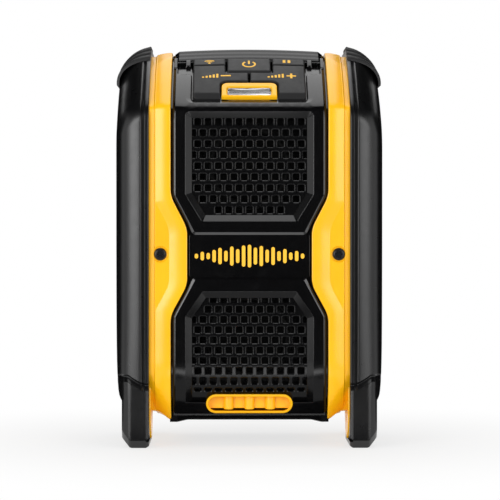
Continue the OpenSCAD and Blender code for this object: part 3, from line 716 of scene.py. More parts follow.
# From and to on the board's slope, given by the depths in y, of the keys, the bezel and the window
V_VOL = (v_of_y(-53.3, 0), v_of_y(-22, 2))
V_SMALL = (V_VOL[1] + KEY_SPACE, v_of_y(-12.6, 2))
V_POWER = v_of_y(-30.2, 2)
V_BEZEL = (v_of_y(-52.8, 0.8), v_of_y(-40, 0.8))
V_LENS = (v_of_y(-51.6, 0.8), v_of_y(-44.4, 0.8))
BEZEL_HALF, LENS_HALF = span("light_bezel", X)[1], span("status_lens", X)[1]
# The base plate's front and back, as heights over the skin, and the depth of the crest's foot
BASE_N, BACK_N, RIM_START = -2.7, -4.0, -10.9
GRILLE_WALL, GRILLE_DEPTH, GRILLE_THICK = 2.0, 4.05, 1.5
FRAME_HALF = 49.3
DRIVER_Z = (middle("lower_driver_surround", Z), middle("upper_driver_surround", Z))
KEY_TOP, SKIRT_N = 2.0, -2.7
# Height over the board's plane at which the key stems end, above their switches
STEM_FOOT = -3.9
# The step down from a raised frame to its grille: inset and depth
OPENING_EDGE = ((0, 0), (0.35, 0.12), (4.2, 3.1), (4.4, 3.35), (4.4, 3.95))
# The crest from the deck to its top: depth in y, and height above the deck's curve
CREST = ((-11.1, -3.0), (-10.6, 0.5), (-9.4, 1.35), (-7.8, 1.75), (-7.3, 1.55), (-6.9, 1.75),
         (-5.7, 2.3), (-4.4, 2.6), (-3.9, 2.38), (-3.5, 2.55), (-2.3, 3.1), (-1.4, 3.3))
# Deck webs: from and to in x, and their top line as depth in y and height
DECK_WEBS = (
    (46.9, 49.2, ((-9.0, 2.1), (-11.5, 2.0), (-19.5, 0.55), (-20.2, -0.6))),
    (38.3, 41.4, ((-9.0, 0.9), (-12.0, 0.8), (-15.6, -0.4), (-16.4, -1.8))),
)


def port_arc(grow, z, upper):
    """Half of the port's outline from left to right, cut off at a height."""
    r, cx = PORT_HIGH + grow, PORT_HALF - PORT_HIGH
    cut = math.degrees(math.asin((PORT_Z - z) / r))
    if upper:
        return arc(-cx, PORT_Z, r, 180 + cut, 90, 10) + arc(cx, PORT_Z, r, 90, -cut, 10)
    return arc(-cx, PORT_Z, r, 180 + cut, 270, 10) + arc(cx, PORT_Z, r, 270, 360 - cut, 10)


def frame_opening(inset):
    """The lower frame's opening and the port's lower half as one outline, with its bevel's insets."""
    low = port_arc(0.2, LOWER_OPENING[0][1], False)
    corners = [LOWER_OPENING[0]] + low + LOWER_OPENING[1:]
    radii = [0.6] + [0] * len(low) + [0.6, 2, 1.5, 1.5, 2]
    edge = min(inset, 0.4)
    insets = [edge] + [0] * (len(low) - 1) + [edge, inset, inset, inset, inset, inset]
    return corners, radii, insets


def frame_edge(size):
    """Outer edge of a raised frame: an upright wall and a broad chamfer."""
    cham = size.frame_chamfer * 1000
    return [(0, BASE_N), (0, -0.95), (0.12, -0.72), (cham - 0.2, -0.07), (cham, 0)]


def edge_rings(form, corners, radii, steps, place, profile):
    """Rings that follow an outline: profile is a list of (inset, height), place(x, s, height)."""
    like = ring(corners, radii, profile[0][0], steps)
    return form.stack([(divided(ring(corners, radii, inset, steps), like, 4.0), height)
                       for inset, height in profile], place)


def key_well():
    """Outline of the opening round all the keys, on the unrolled front."""
    gap = 0.75
    half = KEY_HALF + gap
    return oblong(-half, half, s_of_v(V_VOL[0]) - gap, s_of_v(V_SMALL[1]) + gap)


def deck_well():
    """The well in the raised deck: the key opening with a pocket on each side of its rear end."""
    (x0, s0), (x1, _), (_, s1), _ = key_well()
    ear, s_ear = 46.3, SKIN.s_of_y(-26.5)
    return [(x0, s0), (x1, s0), (x1, s_ear), (ear, s_ear), (ear, s1), (-ear, s1), (-ear, s_ear),
            (x0, s_ear)]


def build_front_shell():
    """The housing's base plate with the openings for the grilles, the port and the keys."""
    form = Form()
    half = HALF - 0.1
    outline = oblong(-half, half, SKIN.s_of_z(FLOOR_Z, CHIN_UPTO) - 30, SKIN.s_of_y(HEEL_Y))
    outer = edge_rings(form, outline, 0, 1, on_front, [(0, BACK_N), (0, BASE_N)])
    through = [(0, BASE_N), (0, BACK_N)]
    upper = edge_rings(form, offset(UPPER_OPENING, GRILLE_WALL), 1.2, 3, on_front, through)
    well = edge_rings(form, offset(key_well(), -0.2), 1.5, 3, on_front, through)
    corners, _, insets = frame_opening(GRILLE_WALL)
    lower = through_loops(form, ring(corners, 0, insets, 3), (-BASE_N, -BACK_N))
    form.fill([outer[1], upper[0], well[0], lower[0]], level(on_front, BASE_N), (8, 3))
    form.fill([outer[0], upper[1], well[1], lower[1]], level(on_front, BACK_N), (8, 3))
    return form


def through_loops(form, flat, depths):
    """Loops cut straight back through the front; the flat points are turned into unrolled ones."""
    flat = divided(flat, flat, 4.0)
    return unrolled(form.stack([(flat, depth) for depth in depths], through_front))


def build_upper_frame(size):
    """The raised frame round the upper grille and the control deck."""
    form = Form()
    top = SKIN.s_of_y(RIM_START + 0.4)
    outline = [(-36.2, 136.6), (36.2, 136.6), (FRAME_HALF, 161.7), (FRAME_HALF, top),
               (-FRAME_HALF, top), (-FRAME_HALF, 161.7)]
    outer = edge_rings(form, outline, [2.8, 2.8, 3, 0.3, 0.3, 3], 4, on_front, frame_edge(size))
    opening = edge_rings(form, UPPER_OPENING, [2, 2, 2, 3, 3, 2], 4, on_front,
                         [(inset, -depth) for inset, depth in OPENING_EDGE])
    reach = (4.3, 4.0, 2.2, 0.6, 0.3, 0.6, 2.2, 4.0)
    slope = [([-r * part for r in reach], n) for part, n in
             ((1, 0), (0.93, -0.1), (0.55, -0.42), (0.18, -0.8), (0.05, -1.0), (0, -1.3), (0, BASE_N))]
    radii = [2.4, 2.4, 3.4, 1.4, 1.4, 1.4, 1.4, 3.4]
    well = edge_rings(form, deck_well(), radii, 5, on_front, slope)
    form.fill([outer[-1], opening[0], well[0]], level(on_front, 0), (7, 3))
    form.fill([outer[0], opening[-1], well[-1]], level(on_front, BASE_N), (7, 3))
    return form


def build_lower_frame(size):
    """The raised frame round the lower grille and the chin."""
    form = Form()
    bottom = SKIN.s_of_z(FLOOR_Z, CHIN_UPTO) - 12
    outline = [(-FRAME_HALF, bottom), (FRAME_HALF, bottom), (FRAME_HALF, 84.6), (35.8, 109.8),
               (-35.8, 109.8), (-FRAME_HALF, 84.6)]
    outer = edge_rings(form, outline, [0.5, 0.5, 3, 2.8, 2.8, 3], 4, on_front, frame_edge(size))
    corners, radii, _ = frame_opening(0)
    like = ring(corners, radii, 0, 4)
    levels = [(divided(ring(corners, radii, frame_opening(inset)[2], 4), like, 4.0), depth)
              for inset, depth in OPENING_EDGE]
    opening = unrolled(form.stack(levels, through_front))
    form.fill([outer[-1], opening[0]], level(on_front, 0), (7, 3))
    form.fill([outer[0], opening[-1]], level(on_front, BASE_N), (7, 3))
    return form


def build_baffle():
    """The inner wall that carries the two drivers behind the grilles."""
    form = Form()
    gap, thick = 0.2, 3.0
    outline = oblong(-49, 49, 20, 215)
    reach = span("upper_driver_surround", X)[1] + gap
    outlines = [divided(outline, outline, 12.0)] + [disc(0, z, reach, 48) for z in DRIVER_Z]
    outlines.append(pill(PORT_HALF + 0.1, PORT_HIGH + 0.1, 0, PORT_Z, 10))
    rear = span("driver_gaskets", Y)[0]
    sides = []
    for y in (rear - thick, rear):
        sides.append([(form.add([(x, y, z) for x, z in flat]), flat) for flat in outlines])
        form.fill(sides[-1], level(at_y, y), (16, 16))
    for a, b in zip(*sides):
        form.join(a[0], b[0])
    return form


def build_chin_lip():
    """The lip along the housing's lower front edge, stepped down at its ends to two small feet."""
    form = Form()
    section = [(-40.0, 17.4), (-42.6, 16.9), (-44.2, 17.3), (-44.6, 17.9), (-44.3, 18.5),
               (-43.4, 19.3), (-40.0, 19.6)]
    stations = [(-51.3, 1.5), (-46.8, 1.5), (-46.0, 1.35), (-40.5, 0.1), (-38.5, 0)]
    stations += [(-x, drop) for x, drop in reversed(stations)]
    rings = []
    for x, drop in stations:
        rise = 4.5 if abs(x) > 46.5 else 0.0
        rings.append([(x, y, z + rise if z > 19 else z - drop) for y, z in section])
    form.rod(rings)
    return form


def build_crest():
    """The stepped rim behind the keys, with three soft ridges and cut ends."""
    form = Form()
    heel = SKIN.s_of_y(HEEL_Y)
    line = [(SKIN.s_of_y(y), n) for y, n in CREST]
    line += [(heel - 0.4, 3.15), (heel, 2.5), (heel, BACK_N)]
    line = rounded(line, [0] + [0.35] * (len(line) - 2) + [0], 2, closed=False)
    ends = [(-FRAME_HALF, 1.0), (-48.6, 0.55), (-46.5, 0.12), (-45.8, 0.0)]
    stations = ends + [(x, 0.0) for x in np.linspace(-42, 42, 15)]
    stations += [(-x, cut) for x, cut in reversed(ends)]
    form.strip([[on_front(x, s, n - cut * max(n + 0.4, 0)) for s, n in line]
                for x, cut in stations])
    return form


def build_deck_webs():
    """Small webs that tie the crest to the deck at both ends and beside the small keys."""
    form = Form()
    low = BASE_N - 0.3
    for side in (-1, 1):
        for x0, x1, line in DECK_WEBS:
            rings = []
            for y, n in line:
                s = SKIN.s_of_y(y)
                section = [(x0, low), (x0, n - 0.3), (x0 + 0.25, n), (x1 - 0.25, n), (x1, n - 0.3),
                           (x1, low)]
                rings.append([on_front(side * x, s, h) for x, h in section])
            form.rod(rings)
    return form


def build_well_floor():
    """The dark web that closes the well under the keys; the key stems pass through it."""
    form = Form()
    gap, low, high = 1.2, -5.0, -4.1
    half = KEY_HALF + gap
    corners = oblong(-half, half, V_VOL[0] - gap, V_SMALL[1] + gap)
    outer = edge_rings(form, corners, 0, 1, above_deck, [(0, low), (0, high)])
    holes = [form.stack([(disc(cx, cv, 2.0, 16), n) for n in (high, low)], above_deck)
             for cx, cv in switch_places()]
    form.fill([outer[1]] + [h[0] for h in holes], level(above_deck, high), (8, 4))
    form.fill([outer[0]] + [h[1] for h in holes], level(above_deck, low), (8, 4))
    return form


def switch_places():
    """Middles of the five key stems on the board: power, pairing, play, volume down and up."""
    mid = sum(V_SMALL) / 2
    low = sum(V_VOL) / 2 - 2
    return [(0, (V_POWER + V_SMALL[1]) / 2 + 2), (-27, mid), (27, mid), (-27, low), (27, low)]


# Grilles
PITCH_X, UPPER_PITCH, LOWER_PITCH = 6.66, 7.1, 6.6
HOLE_REACH = 37.0


def hole_places(z_top, pitch, phase, corner):
    """Centres of the staggered holes; rows get shorter beside the cut corners."""
    out = []
    for r in range(9):
        for c in range(-6, 7):
            x = (c + ((r + phase) % 2) / 2) * PITCH_X
            z = z_top - r * pitch
            if abs(x) < min(HOLE_REACH, corner[0] + abs(z - corner[1])):
                out.append((x, z, 1.0))
    return out


def low_row():
    """The last row of the lower grille, flattened by the port under it."""
    return [(c * PITCH_X, 37.1, 0.56) for c in range(-5, 6)]


def grille_outline():
    """The lower grille plate, notched round the port's upper half."""
    half, z = GRILLE_HALF + GRILLE_WALL, 27.9
    top = offset(LOWER_OPENING, -GRILLE_WALL)[2:]
    return [(-half, z)] + port_arc(0.15, z, True) + [(half, z)] + top


def build_grille(size, corners, places):
    """A pierced plate: each square hole has rounded corners and a chamfered mouth."""
    form = Form()
    outer = through_loops(form, ring(corners, 0, 0, 3), (GRILLE_DEPTH + GRILLE_THICK, GRILLE_DEPTH))
    mouth, hole = size.hole_mouth * 500, size.hole_width * 500
    front, back = [], []
    for cx, cz, flat_by in places:
        levels = []
        for half, depth in ((mouth, 0.0), (mouth - 0.06, 0.04), (hole + 0.06, 0.42), (hole, 0.55),
                            (hole, GRILLE_THICK)):
            high = half - mouth * (1 - flat_by)
            corner = oblong(cx - half, cx + half, cz - high, cz + high)
            flat = rounded(corner, min(half, high * 1.6) * 0.42, 3)
            levels.append((flat, GRILLE_DEPTH + depth))
        loops = unrolled(form.stack(levels, through_front))
        front.append(loops[0])
        back.append(loops[-1])
    form.fill([outer[1]] + front, level(behind_front, GRILLE_DEPTH), (6, 3.3))
    form.fill([outer[0]] + back, level(behind_front, GRILLE_DEPTH + GRILLE_THICK), (6, 3.3))
    return form


# Side pieces
TRIM_INNER = ((-500, HALF), (85, HALF), (104.6, 39.7), (141, 39.7), (161.5, HALF), (900, HALF))


def trim_inner(s):
    """Inner edge of the yellow band at a height: it steps in at the waist, with soft corners."""
    soft, n = 4.0, 3
    return sum(lookup(TRIM_INNER, s + k * soft / n) for k in range(-n, n + 1)) / (2 * n + 1)


def loop_profile(off):
    """The closed side profile that the yellow band follows, as one run from the floor's middle."""
    chin, deck = chin_points(off), deck_points(off, 0)
    corners = [(0, FLOOR_Z - off)] + chin + deck[:-1] + [(0, TOP_Z + off)]
    radii = [0, 3] + [0] * (len(chin) - 1) + [5] + [0] * (len(deck) - 2) + [8]
    corners += [(REAR_Y + off, TOP_Z + off), (REAR_Y + off, FLOOR_Z + REAR_CUT),
                (REAR_Y + off - REAR_CUT, FLOOR_Z - off), (0.01, FLOOR_Z - off)]
    radii += [REAR_R + off, 2, 2, 0]
    return corners, radii


def top_drop(x, y):
    """How far the band sinks to the crest: a facet that starts along a slanting line."""
    start = -11.5 - 8.5 * (x - HALF) / (TRIM_OUT_X - HALF)
    fall = min(max((y - start) / (0 - start), 0), 1)
    return 1.8 * fall * (1 - smooth((y - 36) / 14))


def chin_drop(x, y, z):
    """How far the band's low outer corner is cut back, below a slanting line on the chin."""
    if y > -6 or z > 60:
        return 0.0
    past = 0.81 * (x - 60.5) - 0.59 * (z - 41.9)
    return 0.34 * max(past, 0) * smooth((-6 - y) / 20)


def band_section(x0, flank):
    """Cross-section of the yellow band: a low convex strip along its inner edge, a flat and a flank."""
    edge = TRIM_OUT_X - flank
    width = min(11.6, edge - x0 - 0.6)
    x0 += 0.2
    points = [(x0, -4.0), (x0, 1.7), (x0 + 0.2, 2.12), (x0 + 0.7, 2.35)]
    for t in (0.2, 0.4, 0.6, 0.8, 0.97):
        points.append((x0 + 0.7 + (width - 0.7) * t, 2.35 - 1.4 * t * t))
    points += [(x0 + width, 0.98), (x0 + width + 0.25, 0.97), (edge - 0.2, 0.97), (edge, 0.9),
               (edge + 0.4, 0.0)]
    return points + [(edge + 0.7, -0.2), (TRIM_OUT_X, -0.45), (TRIM_OUT_X, -4.0)]


def build_trim(size):
    """The yellow band that runs round the housing, with its waist, chamfered flank and lifted heel."""
    path = Profile(*loop_profile(0.0), anchor=150)
    start, end = path.s[0], path.s[-1]
    stations = set(np.arange(start, end, 4.0))
    for low, high, step in ((78, 112, 1.0), (134, 168, 1.0), (212, 226, 0.8), (start + 38, 56, 1.6),
                            (240, 292, 1.5)):
        stations |= set(np.arange(low, high, step))
    flank = size.trim_flank * 1000
    rings = []
    for s in sorted(stations):
        row = []
        for x, n in band_section(trim_inner(s), flank):
            px, py, pz = path.at(x, s, 0)
            if n > -1.5:
                n -= (top_drop(px, py) if pz > 200 else 0) + chin_drop(px, py, pz)
            px, py, pz = path.at(x, s, n)
            low = min(max((30 - pz) / 10, 0), 1) * min(max((10 - py) / 20, 0), 1)
            pz += low * (1.8 * smooth((x - 52.5) / 7) - 1.1 * (1 - smooth((x - HALF) / 5)))
            row.append((px, py, pz))
        rings.append(row)
    form = Form()
    form.rings(rings + rings[:1])
    return form


def smooth(t):
    """An even rise from 0 to 1 with flat ends."""
    t = min(max(t, 0.0), 1.0)
    return t * t * (3 - 2 * t)


# Bumper: inner face and foot in x, the foot's top and its half depth
INNER_X, FOOT_X, FOOT_TOP, FOOT_HALF_Y = TRIM_OUT_X, 81.9, 30.5, 62.7
# The arch between the feet: from and to in y, and its top
ARCH = (-4.0, 24.0, 34.0)


def side_x(z):
    """Outer face of the bumper: it steps out over the foot and swells slowly above it."""
    if z < FOOT_TOP:
        return FOOT_X
    step = 2.0 * (1 - math.exp((FOOT_TOP - z) / 2.4))
    return FOOT_X + step + 1.9 * (1 - math.exp((FOOT_TOP - z) / 20))


def across(x, z):
    """Where a layer of the bumper lies at a height, as the foot is narrower than the side."""
    return INNER_X + (x - INNER_X) / (OUTER_X - INNER_X) * (side_x(z) - INNER_X)


# How far the bumper's front lies behind its crest, at each x from the inner strip to the side
BULGE = ((INNER_X, 1.5), (64.55, 0.95), (65.0, 0.6), (66.9, 0.5), (67.25, 0.75), (67.6, 1.6),
         (68.6, 1.6), (68.85, 1.1), (69.1, 0.4), (69.5, 0.08), (70.2, 0.05), (72, 0.34), (74, 0.8),
         (76, 1.45), (78, 2.3), (79.6, 3.2), (81, 4.25), (82.3, 5.55), (83.4, 7.0), (84.3, 8.7),
         (85, 10.6), (85.5, 12.6), (OUTER_X, 14.6))
FOOT_FRONT = ((INNER_X, 0.9), (64.8, 0.35), (65.4, 0.1), (66, 0), (76.6, 0), (77.2, 0.12), (79.9, 1.75),
              (80.7, 2.5), (81.5, 3.7), (FOOT_X, 5.0), (82.5, 7.2), (83.3, 9.2), (84.3, 11.0),
              (OUTER_X, 12.6))


def lookup(table, x):
    """The value of a table of pairs at x, on a straight line between two of them."""
    return float(np.interp(x, [p[0] for p in table], [p[1] for p in table]))


def quarter(a, r):
    """How far a quarter circle of radius r has fallen back after a."""
    a = min(max(a, 0.0), r)
    return r - math.sqrt(r * r - a * a)


def bumper_outline(x):
    """Side outline of the bumper where it is x wide, with every edge rounded over by that much."""
    xf = across(x, 0)
    bulge = lookup(BULGE, x)
    low_bulge = bulge * (0.8 if x > 70 else 1.0)
    strip = bulge if x < 70 else 0.0
    crown_in = quarter(x - (OUTER_X - 24), 24) + strip * 0.6
    z0 = max(0, (xf - 76.5) / 5.4 * 6.5) + max(0, 65.8 - xf)
    rear_z0 = z0 if x >= 68.5 else FLOOR_Z - 0.4
    lip = 41.3 + 5.7 * min(max((x - 67) / 11.4, 0), 1) ** 1.5
    arch = quarter(xf - (FOOT_X - 2.5), 2.5)
    rise = [FOOT_TOP, FOOT_TOP + 1.5, FOOT_TOP + 3.5, FOOT_TOP + 6.5, lip - 4.6]
    set_back = [-FOOT_HALF_Y + lookup(FOOT_FRONT, across(x, z)) for z in rise]
    groove = max(set_back[-1] + FOOT_HALF_Y, low_bulge) + 2.0
    foot = FOOT_HALF_Y - lookup(FOOT_FRONT, xf)
    top = TOP_Z + BUMPER_OUT - crown_in
    slow = [(low_bulge + (bulge - low_bulge) * smooth((z - 42) / 50), z)
            for z in (130, 100, 80, 65, 55)]

    out = [(4 - foot, z0, 1), (ARCH[0] - arch, z0, 1.5), (ARCH[0] - arch, ARCH[2] + arch, 13.9),
           (ARCH[1] + arch, ARCH[2] + arch, 13.9), (ARCH[1] + arch, rear_z0, 1.5),
           (foot - 4, rear_z0, 1), (foot, rear_z0 + 5, 1.5)]
    out += [(-y, z, 0) for y, z in zip(set_back[:-1], rise)]
    out += [(-set_back[-1], lip - 4.6, 1.2), (SIDE_HALF_Y - groove, lip - 0.9, 0.5),
            (SIDE_HALF_Y - low_bulge, lip + 0.4, 0.45)]
    out += [(SIDE_HALF_Y - back, z, 0) for back, z in reversed(slow)]
    out += [(SIDE_HALF_Y - bulge, top, max(15 - crown_in * 0.6, 2)), (0.0, top, 6)]
    y_front = bulge - SIDE_HALF_Y
    for k in range(1, 6):
        y = (y_front + 1.5) * k / 7.5
        out.append((y, deck_z(y, BUMPER_OUT - crown_in), 0))
    out.append((y_front, deck_z(y_front, BUMPER_OUT - crown_in), 19))
    out += [(back - SIDE_HALF_Y, z, 0) for back, z in slow]
    out += [(low_bulge - SIDE_HALF_Y, lip + 0.4, 0.45), (groove - SIDE_HALF_Y, lip - 0.9, 0.5),
            (set_back[-1], lip - 4.6, 1.2)]
    out += [(y, z, 0) for y, z in zip(reversed(set_back[:-1]), reversed(rise[:-1]))]
    out.append((-foot, z0 + 5, 1.5))
    return out


WINDOW = [(-14, 64), (14, 64), (24, 74), (24, 192), (10, 206), (-10, 206), (-24, 192), (-24, 74)]


def build_bumper():
    """The soft rubber side: rolled edges, arched feet with a lip, and a framed window."""
    form = Form()
    rings = []
    for x, _ in BULGE:
        out = bumper_outline(x)
        flat = rounded([p[:2] for p in out], [p[2] for p in out], 4)
        rings.append(([(across(x, z), y, z) for y, z in flat], flat))
    ids = form.rings([r[0] for r in rings])

    def in_window(y, z, x):
        """A point of the window's frame; outside it follows the side's swell."""
        return (x - (OUTER_X - side_x(z)) if x > 80 else x, y, z)

    profile = [(-1.2, OUTER_X), (-0.9, OUTER_X - 0.1), (-0.2, OUTER_X - 0.9), (0, OUTER_X - 1.4),
               (0.8, 78.2), (0.8, INNER_X)]
    window = form.wall(WINDOW, 3, profile, in_window)
    form.fill([(ids[-1], rings[-1][1]), window[0]], lambda y, z: (side_x(z), y, z), (6, 6))
    form.fill([(ids[0], rings[0][1]), window[-1]], level(at_x, INNER_X), (12, 12))
    return form


def build_window_panel():
    """The yellow panel seen in the bumper's window, with grooves pressed in."""
    form = Form()
    back, face, floor = 70, 78, 76.9
    outer = form.wall(WINDOW, 3, [(-2.0, back), (-2.0, face - 0.4), (-1.6, face)], at_x)
    grooves = []
    for k in range(5):
        groove = form.stack([(pill(15 - inset, 2.2 - inset, 0, 99 + k * 18, 8), x)
                             for inset, x in ((0, face), (0.15, 77.85), (0.6, floor))], at_x)
        form.fill([groove[-1]], level(at_x, floor), (4, 4))
        grooves.append(groove[0])
    form.fill([outer[-1]] + grooves, level(at_x, face), (8, 8))
    form.fill([outer[0]], level(at_x, back), (12, 12))
    return form


# The yellow tongues: middle and half width in y, and the inner face in x
TONGUES = ((-33.0, 22.0, 63.4), (41.0, 12.0, 67.4))
LEG_SCREW_Z, SEAT_DEPTH = middle("leg_screws", Z), 1.6


def build_tongues():
    """The yellow tongues inside the legs, round at the foot, with a screw seat each."""
    form = Form()
    foot_z, top_z, back = 4, 46, 71
    for cy, half, x_in in TONGUES:
        low = foot_z + half
        corners = [(cy - half, low)] + arc(cy, low, half, 180, 360, 16)[1:]
        corners += [(cy + half, top_z), (cy - half, top_z)]
        sides = form.stack([(offset(corners, inset), x) for inset, x in
                            ((0, back), (0, x_in + 0.8), (0.25, x_in + 0.25), (0.9, x_in))], at_x)
        seat = form.stack([(disc(cy, LEG_SCREW_Z, r, 24), x_in + d) for r, d in
                           ((3.9, 0), (3.6, 0.3), (3.4, SEAT_DEPTH), (1.4, SEAT_DEPTH))], at_x)
        form.cap(seat[-1][0])
        form.fill([sides[-1], seat[0]], level(at_x, x_in), (6, 6))
        form.fill([sides[0]], level(at_x, back), (10, 10))
    return form


def build_grip():
    """The ribbed grip over the bumper's top corner."""
    form = Form()
    ribs = 9
    y0, y1 = span("right_corner_grip", Y)
    pitch = (y1 - y0) / (ribs - 0.4)
    line = []
    for k in range(ribs):
        a = y0 + k * pitch
        line += [(a, 0.75), (a + 0.25, 1.9), (a + 0.8, 2.35), (a + pitch * 0.42, 2.4),
                 (a + pitch * 0.6, 2.0), (a + pitch * 0.68, 0.75)]
    line[0] = (y0, -0.6)
    line[-1] = (y1, -0.6)
    r, top = 24.0, TOP_Z + BUMPER_OUT
    cx, cz = OUTER_X - r, top - r
    path = [(INNER_X + 0.3, top, 0, 1, 0.75), (INNER_X + 0.9, top, 0, 1, 1.0)]
    for a in np.radians(np.linspace(90, 0, 19)):
        nx, nz = math.cos(a), math.sin(a)
        if cx + r * nx > INNER_X + 1.5:
            path.append((cx + r * nx, cz + r * nz, nx, nz, 1.0))
    path += [(OUTER_X, cz - 1.2, 1, 0, 0.9), (OUTER_X, cz - 1.6, 1, 0, 0.45)]
    rings = []
    for x, z, nx, nz, h in path:
        row = []
        for y, n in line:
            drop = (TOP_Z - deck_z(y)) * max(nz, 0) ** 1.2 if y < 0 else 0.0
            up = n * h * 0.75 if n > 0 else n
            row.append((x + nx * up * 0.72, y, z + nz * up - drop))
        rings.append(row)
    form.strip(rings)
    return form


# Keys
def key_outline(kind):
    """Corners and radii of a key on the board, and which sides carry the long front bevel."""
    if kind == "power":
        corners = oblong(-POWER_HALF, POWER_HALF, V_POWER, V_SMALL[1])
        return corners, [1.6, 1.6, 0.8, 0.8], [1, 0, 0, 0]
    if kind == "small":
        corners = oblong(POWER_HALF + KEY_SPACE, KEY_HALF, *V_SMALL)
        return corners, [0.6, 0.6, 1.5, 0.6], [0, 0, 0, 0]
    x0, x1 = KEY_SPLIT, KEY_HALF
    notch_v, notch_x = V_POWER - KEY_SPACE, POWER_HALF + KEY_SPACE
    bezel_x, bezel_v = BEZEL_HALF + 0.55, V_BEZEL[1] + 0.55
    corners = [(bezel_x, V_VOL[0]), (x1, V_VOL[0]), (x1, V_VOL[1]), (notch_x, V_VOL[1]),
               (notch_x, notch_v), (x0, notch_v), (x0, bezel_v), (bezel_x, bezel_v)]
    return corners, [0.5, 2.6, 1.0, 0.8, 0.8, 0.6, 0.5, 4.4], [1, 0, 0, 0, 0, 0, 0, 0]


def build_key(kind, size, mirror=False):
    """One rubber key: skirt, long front bevel, rolled edges, top on the deck's curve, and its stem."""
    corners, radii, long_side = key_outline(kind)
    form = Form()
    round_r = size.key_round * 1000
    bevel = size.key_bevel * 1000 if kind == "volume" else 1.5
    profile = []
    for edge, front, off in ((0.3, 0.3, SKIRT_N), (0, 0, -2.3), (0, 0, -0.1), (0, bevel * 0.1, 0.2),
                             (0, bevel * 0.72, 1.35), (round_r * 0.3, bevel * 0.9, 1.72),
                             (round_r, bevel + 0.25, 1.96), (round_r + 0.5, bevel + 0.8, KEY_TOP)):
        profile.append(([front if is_long else edge for is_long in long_side], off))
    loops = form.wall(corners, radii, profile, above_deck)
    form.fill([loops[-1]], level(above_deck, KEY_TOP), (5, 3))
    cx, cv = switch_places()[{"power": 0, "small": 2, "volume": 4}[kind]]
    foot = form.stack([(disc(cx, cv, r, 24), w) for r, w in ((1.3, STEM_FOOT), (1.6, STEM_FOOT + 0.3))],
                      on_board)
    flat = disc(cx, cv, 1.6, 24)
    top = form.add([above_deck(x, v, SKIRT_N) for x, v in flat])
    form.cap(foot[0][0])
    form.join(foot[1][0], top)
    form.fill([loops[0], (top, flat)], level(above_deck, SKIRT_N), (5, 3))
    return form.mirrored() if mirror else form


def build_marks(shapes):
    """Printed marks: flat shapes that stand a hair above a key."""
    form = Form()
    low, high = KEY_TOP - 0.05, KEY_TOP + 0.07
    for outlines in shapes:
        walls = [form.stack([(flat, low), (flat, high)], above_deck) for flat in outlines]
        form.fill([w[1] for w in walls], level(above_deck, high), (2, 2))
        form.fill([w[0] for w in walls], level(above_deck, low), (2, 2))
    return form


def bar(x0, x1, v0, v1, r=0.35):
    """A printed bar with rounded corners."""
    return rounded(oblong(x0, x1, v0, v1), r, 3)


def arc_band(cx, cv, r0, r1, a0, a1, n=16):
    """A printed arc between two radii."""
    return arc(cx, cv, r1, a0, a1, n) + arc(cx, cv, r0, a1, a0, n)


def power_mark():
    """A broken ring with an upright bar."""
    cv = (V_POWER + V_SMALL[1]) / 2 + 0.9
    return [[arc_band(0, cv - 0.4, 3.35, 4.6, 128, 412, 32)], [bar(-0.62, 0.62, cv - 0.2, cv + 4.9)]]


def wireless_mark():
    """A dot with two arcs over it."""
    cx, cv = -(POWER_HALF + KEY_SPACE + KEY_HALF) / 2, sum(V_SMALL) / 2 - 2.9
    dot = arc(cx, cv + 0.4, 0.85, 0, 337.5, 15)
    return [[dot]] + [[arc_band(cx, cv + 0.4, r, r + 0.85, 42, 138, 12)] for r in (1.9, 3.7)]


def pause_mark():
    """Two upright bars."""
    cx, cv = (POWER_HALF + KEY_SPACE + KEY_HALF) / 2 - 1.2, sum(V_SMALL) / 2
    return [[bar(cx - 2.5, cx - 0.7, cv - 2.1, cv + 2.1)], [bar(cx + 0.7, cx + 2.5, cv - 2.1, cv + 2.1)]]


def level_mark(x0, v):
    """A short ramp of bars, for the sound level."""
    return [[bar(x0 + k * 2.3, x0 + k * 2.3 + 1.35, v - 2.4, v - 0.9 + k * 0.85, 0.3)]
            for k in range(5)]


def minus_mark(cx, v):
    """A minus sign."""
    return [[bar(cx - 3.3, cx + 3.3, v - 0.7, v + 0.7)]]


def plus_mark(cx, v):
    """A plus sign."""
    a, b = 3.1, 0.7
    corners = [(-b, -a), (b, -a), (b, -b), (a, -b), (a, b), (b, b), (b, a), (-b, a), (-b, b),
               (-a, b), (-a, -b), (-b, -b)]
    return [[[(cx + x, v + y) for x, y in rounded(corners, 0.25, 2)]]]


# Light and name
def build_bezel():
    """The yellow surround of the status light, with a sunk inner step."""
    form = Form()
    half, foot, top = BEZEL_HALF - 0.1, -1.55, 1.2
    corners = oblong(-half, half, V_BEZEL[0] + 0.1, V_BEZEL[1] - 0.1)
    outer = form.wall(corners, [0.5, 0.5, 4.2, 4.2], [(0, foot), (0, 0.5), (0.3, 1.0), (0.9, top)],
                      above_deck, 6)
    hole = form.wall(oblong(-LENS_HALF, LENS_HALF, *V_LENS), 1.6,
                     [(-0.9, top), (-0.6, 1.05), (-0.05, 0.35), (-0.05, foot)], above_deck, 5)
    form.fill([outer[-1], hole[0]], level(above_deck, top), (5, 3))
    form.fill([outer[0], hole[-1]], level(above_deck, foot), (5, 3))
    return form


def build_lens():
    """The clear window: a thin block whose top is cut in slanting facets."""
    form = Form()
    h, v0, v1 = LENS_HALF - 0.1, V_LENS[0] + 0.1, V_LENS[1] - 0.1
    foot, top = -3.8, 0.5
    loops = form.wall(oblong(-h, h, v0, v1), 1.5, [(0.2, foot), (0, -3.5), (0, 0.25), (0.25, top)],
                      above_deck, 5)
    form.fill([loops[0]], level(above_deck, foot), (6, 4))

    def facet(x, v):
        """A point of the top, which rises to a slanting fold."""
        past_fold = (v - v0) / (v1 - v0) - 0.85 + 0.7 * (x + h) / (2 * h)
        return above_deck(x, v, top + 0.9 * max(0.5 - abs(past_fold), 0))

    form.fill([loops[-1]], facet, (1.5, 1.0))
    return form


